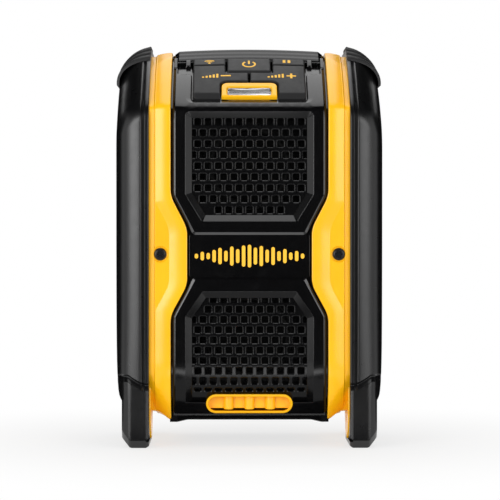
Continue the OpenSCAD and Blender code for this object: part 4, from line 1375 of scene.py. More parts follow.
def build_reflector():
    """Bright facets under the window, folded along slanting lines."""
    form = Form()
    h, v0, v1 = LENS_HALF - 0.3, V_LENS[0] + 0.3, V_LENS[1] - 0.3
    xs = np.linspace(-h, h, 9)
    top, base = [], []
    for j, t in enumerate((0.0, 0.5, 1.0)):
        row = []
        for i, x in enumerate(xs):
            lean = x + (0.5 - t) * 3.4 * (1 if i % 2 else -1) * (0 < i < 8)
            rise = 0.9 if (i + j) % 2 else 0.0
            row.append(above_deck(lean, v0 + (v1 - v0) * t, -5.2 + rise))
        top.append(row)
        base.append([above_deck(x, v0 + (v1 - v0) * t, -6.4) for x in xs])
    a = form.rings(top, closed=False)
    b = form.rings(base, closed=False)
    form.join(a[0], b[0], closed=False)
    form.join(a[2], b[2], closed=False)
    for end in (0, -1):
        form.join([r[end] for r in a], [r[end] for r in b], closed=False)
    return form


BAND_Z, BAND_HALF = span("nameplate", Z), span("nameplate", X)[1]


def build_nameplate():
    """The bare gloss plate across the waist."""
    form = Form()
    back, face = 2.1, 0.9
    corners = oblong(-BAND_HALF, BAND_HALF, BAND_Z[0] + 0.2, BAND_Z[1] - 0.2)
    loops = form.wall(corners, 1.0, [(0, back), (0, 1.15), (0.12, 0.98), (0.45, face)],
                      through_front)
    form.fill([loops[-1]], level(through_front, face), (8, 8))
    form.fill([loops[0]], level(through_front, back), (8, 8))
    return form


LEVELS = (3.2, 5.6, 4.2, 8.0, 10.6, 7.0, 12.4, 9.0, 13.6, 14.6, 11.0, 13.0, 8.4, 11.6, 6.4, 9.2,
          4.8, 6.6, 3.4)


def build_level_bars():
    """A generic sound-level pattern of rounded bars, raised on the plate."""
    form = Form()
    mid, half = sum(BAND_Z) / 2, 34
    pitch = 2 * half / (len(LEVELS) - 1)
    for k, height in enumerate(LEVELS):
        cx = k * pitch - half
        levels = []
        for inset, depth in ((0, 0.95), (0, 0.55), (0.12, 0.42), (0.3, 0.4)):
            lying = pill(height / 2 - inset, 1.15 - inset, 0, 0, 6)
            levels.append(([(cx - b, mid + a) for a, b in lying], depth))
        loops = form.stack(levels, through_front)
        form.cap(loops[0][0])
        form.cap(loops[-1][0])
    return form


# Bass port
def build_port():
    """The yellow mouth of the bass port: a rolled rim on the chin and deep walls."""
    form = Form()
    rim = []
    for grow, depth in ((-0.05, None), (0.0, 3.0), (0.0, -0.45), (-0.18, -0.72), (-0.55, -0.85),
                        (-1.05, -0.85), (-1.4, -0.65), (-1.6, -0.3), (-1.65, 0.6), (-1.7, None)):
        flat = pill(PORT_HALF + grow - 0.1, PORT_HIGH + grow - 0.1, 0, PORT_Z, 14)
        rim.append([(x, PORT_BACK_Y if depth is None else chin_y(z) + depth, z) for x, z in flat])
    ids = form.rings(rim)
    form.join(ids[0], ids[-1])
    return form


def build_port_posts():
    """The baffle inside the port's mouth, with a slot under it, and its three half-round vanes."""
    form = Form()
    slot_z, top = PORT_Z - 3.1, PORT_Z + PORT_HIGH - 1.5
    r, cx = PORT_HIGH - 1.5, PORT_HALF - PORT_HIGH
    cut = math.degrees(math.asin((PORT_Z - slot_z) / r))
    flat = arc(cx, PORT_Z, r, -cut, 90, 8) + arc(-cx, PORT_Z, r, 90, 180 + cut, 8)
    form.rod([[(x, y, max(z, slot_z + inset)) for x, z in flat]
              for y, inset in ((-44.6, 0), (-46.0, 0), (-46.3, 0.3))])
    for x in (-VANE_X, 0, VANE_X):
        form.rod([[(a, b, z) for a, b in disc(x, -46.9, r, 24)] for r, z in
                  ((2.4, slot_z - 0.7), (3.0, slot_z - 0.45), (3.3, slot_z + 0.3), (3.3, top))])
    return form


# Screws
TRIM_SCREW_X, TRIM_SCREW_Z = 57.2, middle("trim_screws", Z)


def pan_head(form, to_world, r, h):
    """A domed screw head with a six-lobed socket, built along its own axis; w is out of the head."""
    n, lobes, drive = 36, 6, 0.55
    rings = []
    for part, w in ((0.97, 0.0), (1.0, 0.12), (1.0, 0.35), (0.95, 0.68), (0.82, 0.9), (0.66, 1.0)):
        rings.append([to_world(a, b, w * h) for a, b in disc(0, 0, r * part, n)])
    for scale, w in ((1.06, 1.0), (1.0, 0.9), (0.96, 0.25)):
        row = []
        for a in np.linspace(0, 2 * math.pi, n, endpoint=False):
            reach = r * drive * scale * (0.86 + 0.14 * math.cos(lobes * a))
            row.append(to_world(reach * math.cos(a), reach * math.sin(a), w * h))
        rings.append(row)
    form.rod(rings)


def shank(form, to_world, r, length):
    """The threaded shank of a screw, thick and thin by turns."""
    pitch = 0.9
    form.rod([[to_world(a, b, -k * pitch) for a, b in disc(0, 0, r * (0.86 if k % 2 else 1.0), 16)]
              for k in range(int(length / pitch) + 1)])


def build_trim_screws():
    """The two recessed screws of the waist."""
    form = Form()
    for x in (-TRIM_SCREW_X, TRIM_SCREW_X):
        def world(a, b, w, x=x):
            """A point of a screw that looks to the front."""
            return (x + a, FRONT_Y + 0.35 - w, TRIM_SCREW_Z + b)

        pan_head(form, world, 3.95, 1.5)
        shank(form, world, 1.9, 13)
    return form


def sink_screw_seats(band):
    """Turns the dished seats of the two trim screws into the yellow band."""
    form = Form()
    for x in (-TRIM_SCREW_X, TRIM_SCREW_X):
        form.rod([[(a, FRONT_Y + d, b) for a, b in disc(x, TRIM_SCREW_Z, r, 48)] for r, d in
                  ((5.7, -3.0), (5.7, -1.3), (5.35, -0.97), (4.7, -0.2), (4.35, -0.15), (4.25, 0.4))])
    cutter = solid("seat_cutter", form)
    cut = band.modifiers.new("screw_seats", "BOOLEAN")
    cut.operation = "DIFFERENCE"
    cut.solver = "EXACT"
    cut.object = cutter
    bake(band)
    bpy.data.objects.remove(cutter)


def build_leg_screws():
    """The screws in the yellow tongues of the legs."""
    form = Form()
    for s in (-1, 1):
        for cy, _, x_in in TONGUES:
            def world(a, b, w, s=s, cy=cy, x_in=x_in):
                """A point of a screw that looks to the middle."""
                return (s * (x_in + SEAT_DEPTH - w), cy + a, LEG_SCREW_Z + b)

            pan_head(form, world, 2.95, 1.35)
            shank(form, world, 1.45, 3.6)
    return form


def build_rear_screws():
    """The four long screws at the bottom of the rear wells."""
    form = Form()
    for s in (-1, 1):
        for z in SCREW_ROWS:
            def world(a, b, w, s=s, z=z):
                """A point of a screw that looks to the back."""
                return (s * REAR_SCREW_X + a, WELL_FLOOR + 0.05 + w, z + b)

            pan_head(form, world, 3.2, 2.3)
            shank(form, world, 1.45, 55)
    return form


# Rear housing
BAY = oblong(-41, 41, 36, 172)
SOCKET_POCKET = oblong(-36, 36, 178, 198)
HANG_POCKET = oblong(-39, 39, 202, 256)
# Pockets of the rear face: outline, corner radius, floor in y, point spacing of the floor, how far
# the skin behind them is wider, its floor, and the edge as inset and depth
POCKETS = (
    (BAY, 3.0, 40.1, 10, 1.3, 38.7, ((-0.8, 0), (-0.65, 0.1), (-0.1, 0.7), (0, 0.9), (0, 19.9))),
    (SOCKET_POCKET, 1.2, 48.0, 8, 1.3, 46.7, ((-0.5, 0), (-0.4, 0.08), (0, 0.5), (0, 12))),
    (HANG_POCKET, 3.0, 56.2, 8, 0.2, 55.4, ((-0.6, 0), (-0.45, 0.05), (0, 0.15), (0.2, 3.6))),
)
SCREW_ROWS, REAR_SCREW_X, WELL_FLOOR = (24.7, 209.0), 43, 38.0
# The hanging wire: its radius, its half width and the line on which it turns, in y and z
BAIL_R = middle("hanging_bracket", Y) - span("hanging_bracket", Y)[0]
BAIL_HALF = span("hanging_bracket", X)[1]
BAIL_LOW, BAIL_TOP = span("hanging_bracket", Z)
BAIL_AXIS = (middle("hanging_bracket", Y), BAIL_TOP - BAIL_R)


def back_y(z):
    """Depth of the rear face at a height."""
    return BACK.at(0, BACK.s_of_z(z, REAR_UPTO))[1]


def back_loops(form, levels, floor_y):
    """A recess in the rear face: levels are pairs of flat outline and depth, deep ones on the floor."""
    def place(x, z, depth):
        """A point below the rear face, or on the floor of the recess."""
        return (x, floor_y if depth > 2 else back_y(z) - depth, z)

    return unrolled(form.stack(levels, place), BACK, REAR_UPTO)


def build_rear_shell():
    """The rear half of the housing with its battery bay, socket pocket, hanging recess and screw wells."""
    form = Form()
    half, skin = 50.2, -3.0
    outer = edge_rings(form, oblong(-half, half, BACK.s[0], BACK.s[-1]), 0, 1, on_back,
                       [(0, skin), (0, -1.0), (0.1, -0.6), (0.5, -0.1), (0.9, 0)])
    holes, inner = [], []
    for corners, radius, floor, step, _, _, profile in POCKETS:
        levels = [(ring(corners, radius, inset, 4), depth) for inset, depth in profile]
        pocket = back_loops(form, levels, floor)
        form.fill([pocket[-1]], level(before_back, floor), (step, step))
        holes.append(pocket[0])
    for s in (-1, 1):
        for z in SCREW_ROWS:
            well = back_loops(form, [(disc(s * REAR_SCREW_X, z, r, 24), depth) for r, depth in
                                     ((4.1, 0), (3.7, 0.35), (3.5, 0.8), (3.5, 22), (1.6, 22))],
                              WELL_FLOOR)
            form.cap(well[-1][0])
            holes.append(well[0])
    form.fill([outer[-1]] + holes, level(on_back, 0), (7, 4))
    for corners, radius, _, _, grow, floor, _ in POCKETS:
        flat = ring(corners, radius, -grow, 4)
        flat = divided(flat, flat, 8.0)
        lip = form.add([(x, back_y(z) + skin, z) for x, z in flat])
        deep = form.add([(x, floor, z) for x, z in flat])
        form.join(lip, deep)
        lip, deep = unrolled([(lip, flat), (deep, flat)], BACK, REAR_UPTO)
        form.fill([deep], level(before_back, floor), (12, 12))
        inner.append(lip)
    form.fill([outer[0]] + inner, level(on_back, skin), (14, 6))
    return form


def build_hinge_ears():
    """The two ears that hold the ends of the hanging wire."""
    form = Form()
    y, z = BAIL_AXIS
    for s in (-1, 1):
        rings = []
        for x, r in ((33.0, 3.7), (33.3, 4.0), (37.7, 4.0), (38.0, 3.7)):
            section = arc(y, z, r, -90, 90, 14) + [(y - 3, z + r), (y - 3, z - r)]
            rings.append([(s * x, a, b) for a, b in section])
        form.rod(rings)
    return form


def build_door():
    """The rubber flap over the sockets, with a raised border, a pull lip and hinge pins."""
    form = Form()
    back, face = 57.62, 59.2
    half, lip_z = 35.6, 193.6
    pin_y, pin_z = middle("port_door", Y), 180.5
    low, top = span("port_door", Z)
    border = form.wall(oblong(-half, half, low + 0.1, top - 0.1), 1.2,
                       [(0.35, back), (0, 57.95), (0, 59.25), (0.3, 59.55), (1.9, 59.58), (2.2, face)],
                       at_y)
    lip = form.stack([(pill(9 - inset, 1.5 - inset, 0, lip_z, 8), y)
                      for inset, y in ((0, face), (0.15, 59.5), (0.6, 59.62))], at_y)
    form.cap(lip[-1][0])
    form.fill([border[-1], lip[0]], level(at_y, face), (6, 6))
    form.fill([border[0]], level(at_y, back), (8, 8))
    for s in (-1, 1):
        form.rod([[(s * x, y, z) for y, z in disc(pin_y, pin_z, r, 16)]
                  for x, r in ((31, 1.0), (37.7, 1.0), (37.95, 0.8))])
    return form


def tube(path, r, n=20):
    """A round wire along a path, with rounded ends."""
    form = Form()
    pts = [Vector(p) for p in path]
    up = Vector((0, 1, 0))
    rings = []
    for i, p in enumerate(pts):
        t = (pts[min(i + 1, len(pts) - 1)] - pts[max(i - 1, 0)]).normalized()
        a = t.cross(up).normalized()
        b = a.cross(t).normalized()
        ends = [(0.0, 1.0)]
        if i == 0:
            ends = [(0.0, 0.75), (0.25, 0.95), (0.6, 1.0)]
        if i == len(pts) - 1:
            ends = [(-0.6, 1.0), (-0.25, 0.95), (0.0, 0.75)]
        for shift, scale in ends:
            centre = p + t * shift
            rings.append([tuple(centre + a * u + b * v) for u, v in disc(0, 0, r * scale, n)])
    form.rod(rings)
    return form


def build_bail():
    """The hanging wire: one bent rod whose ends turn out into the ears."""
    y, z0 = BAIL_AXIS
    z1, half = BAIL_LOW + BAIL_R, 30.0
    corners = [(-BAIL_HALF, z0), (-half, z0), (-half, z1), (half, z1), (half, z0), (BAIL_HALF, z0)]
    flat = rounded(corners, [0, 3.2, 8, 8, 3.2, 0], 10, closed=False)
    return tube([(x, y, z) for x, z in flat], BAIL_R)


def build_seal():
    """The rubber seal in the seam between both halves of the housing."""
    form = Form()
    rings = []
    for off, y in ((-0.4, -0.58), (-0.25, -0.2), (-0.25, 0.2), (-0.4, 0.58), (-3.0, 0.58),
                   (-3.0, -0.58)):
        flat = rounded(oblong(-HALF - off, HALF + off, FLOOR_Z - off, TOP_Z + off), 1.0, 3)
        rings.append([(a, y, b - (b > 200) * a * a / (2 * CROWN_R)) for a, b in flat])
    ids = form.rings(rings)
    form.join(ids[-1], ids[0])
    return form


# Properties
class SpeakerSizes(bpy.types.PropertyGroup):
    """Sizes of the speaker's moulded detail."""

    frame_chamfer: FloatProperty(
        name="Frame chamfer", description="Width of the chamfer round the raised black frames",
        default=0.0019, min=0.0005, max=0.003, unit="LENGTH", subtype="DISTANCE")
    trim_flank: FloatProperty(
        name="Trim flank", description="Width of the sloping flank of the yellow band",
        default=0.0038, min=0.001, max=0.005, unit="LENGTH", subtype="DISTANCE")
    hole_width: FloatProperty(
        name="Hole width", description="Width of a grille hole",
        default=0.0042, min=0.0036, max=0.0044, unit="LENGTH", subtype="DISTANCE")
    hole_mouth: FloatProperty(
        name="Hole mouth", description="Width of a grille hole at its chamfered mouth",
        default=0.0054, min=0.0046, max=0.0058, unit="LENGTH", subtype="DISTANCE")
    key_round: FloatProperty(
        name="Key rounding", description="How far the rolled edge of a key reaches in",
        default=0.0007, min=0.0003, max=0.0012, unit="LENGTH", subtype="DISTANCE")
    key_bevel: FloatProperty(
        name="Key front bevel", description="Length of the long bevel in front of the volume keys",
        default=0.0034, min=0.002, max=0.005, unit="LENGTH", subtype="DISTANCE")


class SpeakerTones(bpy.types.PropertyGroup):
    """Colours of the speaker's mouldings."""

    plastic: FloatVectorProperty(
        name="Housing", description="Colour of the moulded black housing", size=3,
        subtype="COLOR", default=from_srgb(6, 6, 7), min=0, max=1)
    rubber: FloatVectorProperty(
        name="Bumper", description="Colour of the rubber bumpers", size=3,
        subtype="COLOR", default=from_srgb(8, 8, 9), min=0, max=1)
    keys: FloatVectorProperty(
        name="Keys", description="Colour of the keys", size=3,
        subtype="COLOR", default=from_srgb(26, 26, 27), min=0, max=1)
    accent: FloatVectorProperty(
        name="Accent", description="Colour of the yellow mouldings", size=3,
        subtype="COLOR", default=from_srgb(255, 184, 12), min=0, max=1)


def sizes():
    """The sizes that the panel shows."""
    return bpy.context.scene.speaker_sizes


# Operators
class SPEAKER_OT_finishes(bpy.types.Operator):
    """Makes the moulded, rubber, metal and board finishes"""

    bl_idname = "speaker.finishes"
    bl_label = "Finishes"

    def execute(self, context):
        make_finishes(context.scene.speaker_tones)
        return {"FINISHED"}


class SPEAKER_OT_front_housing(bpy.types.Operator):
    """Builds the front housing: shell, raised frames, crest and key well"""

    bl_idname = "speaker.front_housing"
    bl_label = "Front housing"

    def execute(self, context):
        size = sizes()
        piece("front_shell", build_front_shell(), FINISH["black"], slot="black_plastic",
              nodes=["front_housing"])
        for name, form in (("upper_frame", build_upper_frame(size)),
                           ("lower_frame", build_lower_frame(size)), ("crest_rim", build_crest()),
                           ("chin_lip", build_chin_lip()), ("deck_webs", build_deck_webs()),
                           ("driver_baffle", build_baffle()), ("key_well_floor", build_well_floor())):
            piece(name, form, FINISH["black"], slot="black_plastic")
        return {"FINISHED"}


class SPEAKER_OT_grilles(bpy.types.Operator):
    """Builds the two pierced grilles"""

    bl_idname = "speaker.grilles"
    bl_label = "Grilles"

    def execute(self, context):
        size = sizes()
        places = hole_places(209.4, UPPER_PITCH, 0, (23.4, 152.6))
        upper = build_grille(size, offset(UPPER_OPENING, -GRILLE_WALL), places)
        places = hole_places(95.5, LOWER_PITCH, 1, (26, 95.5)) + low_row()
        lower = build_grille(size, grille_outline(), places)
        for which, form in (("upper", upper), ("lower", lower)):
            piece(f"pierced_{which}_grille", form, FINISH["grille"], slot="grille_plastic",
                  nodes=[f"{which}_grille"])
        return {"FINISHED"}


class SPEAKER_OT_side_panels(bpy.types.Operator):
    """Builds the yellow bands with their screw seats, the window panels and the tongues"""

    bl_idname = "speaker.side_panels"
    bl_label = "Side panels"

    def execute(self, context):
        for name, form in (("band", build_trim(sizes())), ("window_panel", build_window_panel()),
                           ("leg_tongues", build_tongues())):
            for side, shape in (("right", form), ("left", form.mirrored())):
                nodes = [side + "_side_panel"] if name == "band" else []
                obj = solid(f"{side}_{name}", shape)
                if name == "band":
                    sink_screw_seats(obj)
                settle(obj, FINISH["yellow"], "housing", "yellow_plastic", nodes)
        return {"FINISHED"}


class SPEAKER_OT_bumpers(bpy.types.Operator):
    """Builds the rubber bumpers and their ribbed corner grips"""

    bl_idname = "speaker.bumpers"
    bl_label = "Bumpers"

    def execute(self, context):
        for name, form, tone, node in (("soft_bumper", build_bumper(), "rubber", "bumper"),
                                       ("ribbed_grip", build_grip(), "grip", "corner_grip")):
            for side, shape in (("right", form), ("left", form.mirrored())):
                piece(f"{side}_{name}", shape, FINISH[tone], slot="bumper_rubber",
                      nodes=[f"{side}_{node}"], crisp=45)
        return {"FINISHED"}


class SPEAKER_OT_keys(bpy.types.Operator):
    """Builds the five keys and their printed marks"""

    bl_idname = "speaker.keys"
    bl_label = "Keys"

    def execute(self, context):
        size = sizes()
        v_vol = V_VOL[0] + 0.62 * (V_VOL[1] - V_VOL[0])
        keys = (
            ("power", "power_button", "power_key", False, power_mark()),
            ("small", "pairing_button", "pairing_key", True, wireless_mark()),
            ("small", "play_pause_button", "play_pause_key", False, pause_mark()),
            ("volume", "volume_down_button", "volume_down_key", True,
             level_mark(-30.6, v_vol) + minus_mark(-15.2, v_vol)),
            ("volume", "volume_up_button", "volume_up_key", False,
             level_mark(12.0, v_vol) + plus_mark(27.4, v_vol)),
        )
        for kind, node, body, mirror, marks in keys:
            piece(node.replace("button", "cap"), build_key(kind, size, mirror), FINISH["key"],
                  body=body, slot="key_rubber", nodes=[node])
            piece(node.replace("button", "mark"), build_marks(marks), FINISH["print"], body=body,
                  slot="yellow_plastic", weighted=False)
        return {"FINISHED"}


class SPEAKER_OT_light(bpy.types.Operator):
    """Builds the status light: bezel, clear window and reflector"""

    bl_idname = "speaker.light"
    bl_label = "Status light"

    def execute(self, context):
        piece("bezel_ring", build_bezel(), FINISH["yellow"], slot="yellow_plastic",
              nodes=["light_bezel"])
        piece("clear_window", build_lens(), FINISH["lens"], slot="clear_lens",
              nodes=["status_lens"])
        piece("folded_reflector", build_reflector(), FINISH["bright"], slot="bright_metal",
              nodes=["light_reflector"], crisp=15, weighted=False)
        return {"FINISHED"}


class SPEAKER_OT_nameplate(bpy.types.Operator):
    """Builds the waist plate with its generic level bars"""

    bl_idname = "speaker.nameplate"
    bl_label = "Waist plate"

    def execute(self, context):
        piece("waist_plate", build_nameplate(), FINISH["black"], slot="black_plastic",
              nodes=["nameplate"])
        piece("level_bars", build_level_bars(), FINISH["print"], slot="yellow_plastic")
        return {"FINISHED"}


class SPEAKER_OT_bass_port(bpy.types.Operator):
    """Builds the mouth of the bass port"""

    bl_idname = "speaker.bass_port"
    bl_label = "Bass port"

    def execute(self, context):
        piece("port_mouth", build_port(), FINISH["yellow"], slot="yellow_plastic",
              nodes=["bass_port"])
        piece("port_posts", build_port_posts(), FINISH["yellow"], slot="yellow_plastic")
        softened("port_tunnel", "port_duct", FINISH["black"], "black_plastic")
        return {"FINISHED"}


class SPEAKER_OT_screws(bpy.types.Operator):
    """Builds the visible screws with their six-lobed sockets"""

    bl_idname = "speaker.screws"
    bl_label = "Screws"

    def execute(self, context):
        for node, form, tone, slot in (
                ("trim_screws", build_trim_screws(), "screw", "black_screw"),
                ("leg_screws", build_leg_screws(), "screw", "black_screw"),
                ("rear_screws", build_rear_screws(), "zinc", "zinc_steel")):
            piece(f"pan_{node}", form, FINISH[tone], slot=slot, nodes=[node])
        return {"FINISHED"}


class SPEAKER_OT_rear_housing(bpy.types.Operator):
    """Builds the rear housing with its pockets, the seam's seal, the socket flap and the hanging wire"""

    bl_idname = "speaker.rear_housing"
    bl_label = "Rear housing"

    def execute(self, context):
        piece("rear_shell", build_rear_shell(), FINISH["black"], slot="black_plastic",
              nodes=["rear_housing"])
        piece("hinge_ears", build_hinge_ears(), FINISH["black"], slot="black_plastic")
        piece("seam_seal", build_seal(), FINISH["seal"], slot="seal_rubber",
              nodes=["housing_seal"])
        piece("socket_flap", build_door(), FINISH["key"], body="door", slot="key_rubber",
              nodes=["port_door"])
        piece("hanging_wire", build_bail(), FINISH["bright"], body="bail", slot="zinc_steel",
              nodes=["hanging_bracket"])
        return {"FINISHED"}


class SPEAKER_OT_battery_side(bpy.types.Operator):
    """Rounds the edges of the battery rails, terminals and sockets"""

    bl_idname = "speaker.battery_side"
    bl_label = "Battery side"

    def execute(self, context):
        for name, node, tone, slot, width in (
                ("rail_plate", "battery_receptacle", "black", "black_plastic", 0.5),
                ("terminal_housing", "terminal_block", "switch", "switch_plastic", 0.4),
                ("blade_contacts", "battery_contacts", "brass", "contact_brass", 0.15),
                ("audio_socket_shell", "aux_jack", "switch", "switch_plastic", 0.3),
                ("power_socket_shell", "power_inlet", "switch", "switch_plastic", 0.3)):
            softened(name, node, FINISH[tone], slot, width=width)
        return {"FINISHED"}


class SPEAKER_OT_inner_parts(bpy.types.Operator):
    """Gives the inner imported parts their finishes"""

    bl_idname = "speaker.inner_parts"
    bl_label = "Inner parts"

    def execute(self, context):
        tones = {
            "control_board": "board", "main_board": "board", "tact_switches": "switch",
            "capacitors": "sleeve", "heat_sink": "bright", "board_screws": "zinc",
            "driver_screws": "screw", "driver_gaskets": "seal", "driver_spiders": "spider",
            "inlet_pin": "brass",
        }
        for part, tone in (("basket", "basket"), ("magnet", "magnet"), ("surround", "seal"),
                           ("cone", "cone")):
            for which in ("upper", "lower"):
                tones[f"{which}_driver_{part}"] = tone
        for node, tone in tones.items():
            slots = frame["nodes"][node].data.materials
            slots.clear()
            slots.append(FINISH[tone])
        return {"FINISHED"}


class SPEAKER_OT_stage(bpy.types.Operator):
    """Sets the pale floor, the soft lamps, the white background and the camera"""

    bl_idname = "speaker.stage"
    bl_label = "Stage"

    def execute(self, context):
        build_floor()
        build_cards()
        build_lamps()
        build_background()
        build_camera()
        return {"FINISHED"}


def studio_sheet(name, corners, mat):
    """A flat sheet that belongs to the studio."""
    mesh = bpy.data.meshes.new(name)
    mesh.from_pydata(corners, [], [(0, 1, 2, 3)])
    sheet = linked(name, mesh)
    mesh.materials.append(mat)
    return sheet


def studio_finish(name, values):
    """A plain material of the studio with the given values of its shader."""
    mat = bpy.data.materials.new(name)
    mat.use_nodes = True
    shader = mat.node_tree.nodes["Principled BSDF"]
    for socket, value in values.items():
        shader.inputs[socket].default_value = value
    return mat


def build_floor():
    """A pale floor that turns into the white background with distance."""
    mat = studio_finish("studio_floor", {"Base Color": (0.9, 0.9, 0.9, 1), "Roughness": 0.9,
                                         "Specular IOR Level": 0.1})
    tree = mat.node_tree
    glow = tree.nodes.new("ShaderNodeEmission")
    place = tree.nodes.new("ShaderNodeTexCoord")
    length = tree.nodes.new("ShaderNodeVectorMath")
    length.operation = "LENGTH"
    fade = tree.nodes.new("ShaderNodeMapRange")
    fade.interpolation_type = "SMOOTHSTEP"
    for socket, value in (("From Min", 0.07), ("From Max", 0.33), ("To Min", 0.72)):
        fade.inputs[socket].default_value = value
    mix = tree.nodes.new("ShaderNodeMixShader")
    tree.links.new(place.outputs["Object"], length.inputs[0])
    tree.links.new(length.outputs["Value"], fade.inputs["Value"])
    tree.links.new(fade.outputs["Result"], mix.inputs["Fac"])
    tree.links.new(tree.nodes["Principled BSDF"].outputs["BSDF"], mix.inputs[1])
    tree.links.new(glow.outputs["Emission"], mix.inputs[2])
    tree.links.new(mix.outputs["Shader"], tree.nodes["Material Output"].inputs["Surface"])
    studio_sheet("floor", [(x, y, 0) for x, y in oblong(-4, 4, -4, 4)], mat)


# Upright cards of the studio: both ends of the foot, and the height, in metres
WALL_CARDS = (
    ("front_card", (-0.88, -2.6), (0.88, -2.6), 1.9),
    ("left_card", (-1.7, 0.1), (-1.7, 2.6), 1.1),
    ("right_card", (1.7, 0.1), (1.7, 2.6), 1.1),
    ("left_rear_card", (-1.7, 2.6), (-0.35, 2.6), 1.1),
    ("right_rear_card", (1.7, 2.6), (0.35, 2.6), 1.1),
)
TABLE_Z, STRIP_Z, ROOF_Z = 0.004, 0.006, 1.45
# Lying cards: from and to in x, from and to in y, the height, in metres, and the glow
LYING_CARDS = (
    ("front_table_card", -0.88, 0.88, -2.6, -0.235, TABLE_Z, 0),
    ("chin_table_card", -0.066, 0.066, -0.064, -0.018, TABLE_Z, 0),
    ("near_left_table_card", -0.09, -0.038, -0.172, -0.064, TABLE_Z, 0),
    ("near_right_table_card", 0.038, 0.09, -0.172, -0.064, TABLE_Z, 0),
    ("left_table_card", -1.7, -0.11, 0.0, 2.6, TABLE_Z, 0),
    ("right_table_card", 0.11, 1.7, 0.0, 2.6, TABLE_Z, 0),
    ("left_roof_card", -2.2, -0.38, -2.6, 2.6, ROOF_Z, 0),
    ("right_roof_card", 0.38, 2.2, -2.6, 2.6, ROOF_Z, 0),
    ("front_roof_card", -0.38, 0.38, -2.6, -0.68, ROOF_Z, 0),
    ("low_strip", -0.06, 0.06, -0.234, -0.165, STRIP_Z, 2.6),
    ("left_low_strip", -0.44, -0.24, -0.5, -0.28, STRIP_Z, 2.6),
    ("right_low_strip", 0.24, 0.44, -0.5, -0.28, STRIP_Z, 2.6),
    ("chin_strip", -0.066, 0.066, -0.13, -0.064, STRIP_Z, 0.34),
)
# Soft lamps: place, target, width, height and power
LAMPS = (
    ("top_softbox", (0, 0.33, 1.4), (0, 0.1, 0.1), 0.74, 1.95, 5.0),
    ("left_softbox", (-1.15, -1.75, 0.45), (-0.05, 0, 0.14), 1.1, 1.0, 20),
    ("right_softbox", (1.15, -1.75, 0.45), (0.05, 0, 0.14), 1.1, 1.0, 11),
)


def build_cards():
    """Black cards that the glossy fronts mirror, so that they stay dark, and four glowing strips."""
    black, white = (0, 0, 0, 1), (1, 1, 1, 1)
    dark = studio_finish("black_card", {"Base Color": black, "Specular IOR Level": 0.0})
    cards = []
    for name, (x0, y0), (x1, y1), top in WALL_CARDS:
        cards.append((name, [(x0, y0, 0), (x1, y1, 0), (x1, y1, top), (x0, y0, top)], dark))
    for name, x0, x1, y0, y1, z, glow in LYING_CARDS:
        mat = dark
        if glow:
            mat = studio_finish(name, {"Base Color": black, "Emission Color": white,
                                       "Emission Strength": glow})
        cards.append((name, [(x, y, z) for x, y in oblong(x0, x1, y0, y1)], mat))
    for name, corners, mat in cards:
        card = studio_sheet(name, corners, mat)
        card.visible_camera = card.visible_diffuse = card.visible_shadow = False
        card.visible_transmission = False


def aim(obj, place, target):
    """Puts a lamp or a camera at a place and turns it to its target."""
    obj.location = place
    obj.rotation_euler = (Vector(target) - Vector(place)).to_track_quat("-Z", "Y").to_euler()


def build_lamps():
    """Three soft lamps: one over the speaker and one on each side of the camera."""
    for name, place, target, width, height, power in LAMPS:
        data = bpy.data.lights.new(name, "AREA")
        data.shape = "RECTANGLE"
        data.size, data.size_y = width, height
        data.energy = power
        aim(linked(name, data), place, target)


def build_background():
    """White where the camera looks or a glossy face mirrors it, dimmer as a light."""
    world = bpy.data.worlds.new("studio")
    bpy.context.scene.world = world
    world.use_nodes = True
    tree = world.node_tree
    tree.nodes.clear()
    out = tree.nodes.new("ShaderNodeOutputWorld")
    seen = tree.nodes.new("ShaderNodeBackground")
    seen.inputs["Color"].default_value = (1, 1, 1, 1)
    glow = tree.nodes.new("ShaderNodeBackground")
    glow.inputs["Color"].default_value = (1, 1, 1, 1)
    glow.inputs["Strength"].default_value = 0.54
    path = tree.nodes.new("ShaderNodeLightPath")
    total = None
    for ray in ("Is Camera Ray", "Is Glossy Ray", "Is Transmission Ray"):
        if total is None:
            total = path.outputs[ray]
            continue
        add = tree.nodes.new("ShaderNodeMath")
        add.operation = "MAXIMUM"
        tree.links.new(total, add.inputs[0])
        tree.links.new(path.outputs[ray], add.inputs[1])
        total = add.outputs[0]
    mix = tree.nodes.new("ShaderNodeMixShader")
    tree.links.new(total, mix.inputs["Fac"])
    tree.links.new(glow.outputs["Background"], mix.inputs[1])
    tree.links.new(seen.outputs["Background"], mix.inputs[2])
    tree.links.new(mix.outputs["Shader"], out.inputs["Surface"])


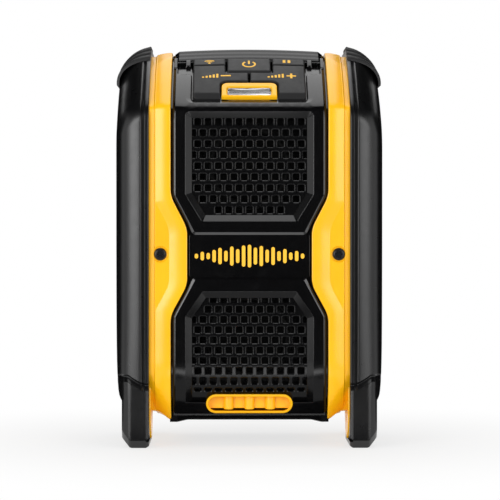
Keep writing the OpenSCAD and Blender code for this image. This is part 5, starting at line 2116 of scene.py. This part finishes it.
def build_camera():
    """The photograph's view: 1.5 m in front, a little left of the middle and about half way up."""
    view_angle = math.radians(12.18)
    data = bpy.data.cameras.new("photo_view")
    cam = linked("photo_view", data)
    aim(cam, (-0.015, -1.56, 0.140), (0.0003, -0.060, 0.127))
    data.sensor_width = 36
    data.lens = data.sensor_width / 2 / math.tan(view_angle / 2)
    data.clip_end = 30
    bpy.context.scene.camera = cam
    bpy.context.scene.view_settings.view_transform = "Standard"


# Panel
STEPS = (
    SPEAKER_OT_finishes, SPEAKER_OT_front_housing, SPEAKER_OT_grilles, SPEAKER_OT_side_panels,
    SPEAKER_OT_bumpers, SPEAKER_OT_keys, SPEAKER_OT_light, SPEAKER_OT_nameplate,
    SPEAKER_OT_bass_port, SPEAKER_OT_screws, SPEAKER_OT_rear_housing, SPEAKER_OT_battery_side,
    SPEAKER_OT_inner_parts, SPEAKER_OT_stage,
)


class SPEAKER_PT_sidebar(bpy.types.Panel):
    """Lists the speaker's sizes, colours and build steps"""

    bl_idname = "SPEAKER_PT_sidebar"
    bl_label = "Speaker"
    bl_space_type = "VIEW_3D"
    bl_region_type = "UI"
    bl_category = "Speaker"

    def draw(self, context):
        for group in (context.scene.speaker_sizes, context.scene.speaker_tones):
            column = self.layout.column(align=True)
            for name in group.__annotations__:
                column.prop(group, name)
        for step in STEPS:
            self.layout.operator(step.bl_idname)


CLASSES = (SpeakerSizes, SpeakerTones) + STEPS + (SPEAKER_PT_sidebar,)


def register():
    """Registers the classes and hangs the sizes and tones on the scene."""
    for cls in CLASSES:
        bpy.utils.register_class(cls)
    bpy.types.Scene.speaker_sizes = PointerProperty(type=SpeakerSizes)
    bpy.types.Scene.speaker_tones = PointerProperty(type=SpeakerTones)


def unregister():
    """Takes the sizes, tones and classes away again."""
    del bpy.types.Scene.speaker_sizes
    del bpy.types.Scene.speaker_tones
    for cls in reversed(CLASSES):
        bpy.utils.unregister_class(cls)


def main():
    register()
    for step in STEPS:
        group, name = step.bl_idname.split(".")
        getattr(getattr(bpy.ops, group), name)()


if __name__ == "__main__":
    main()
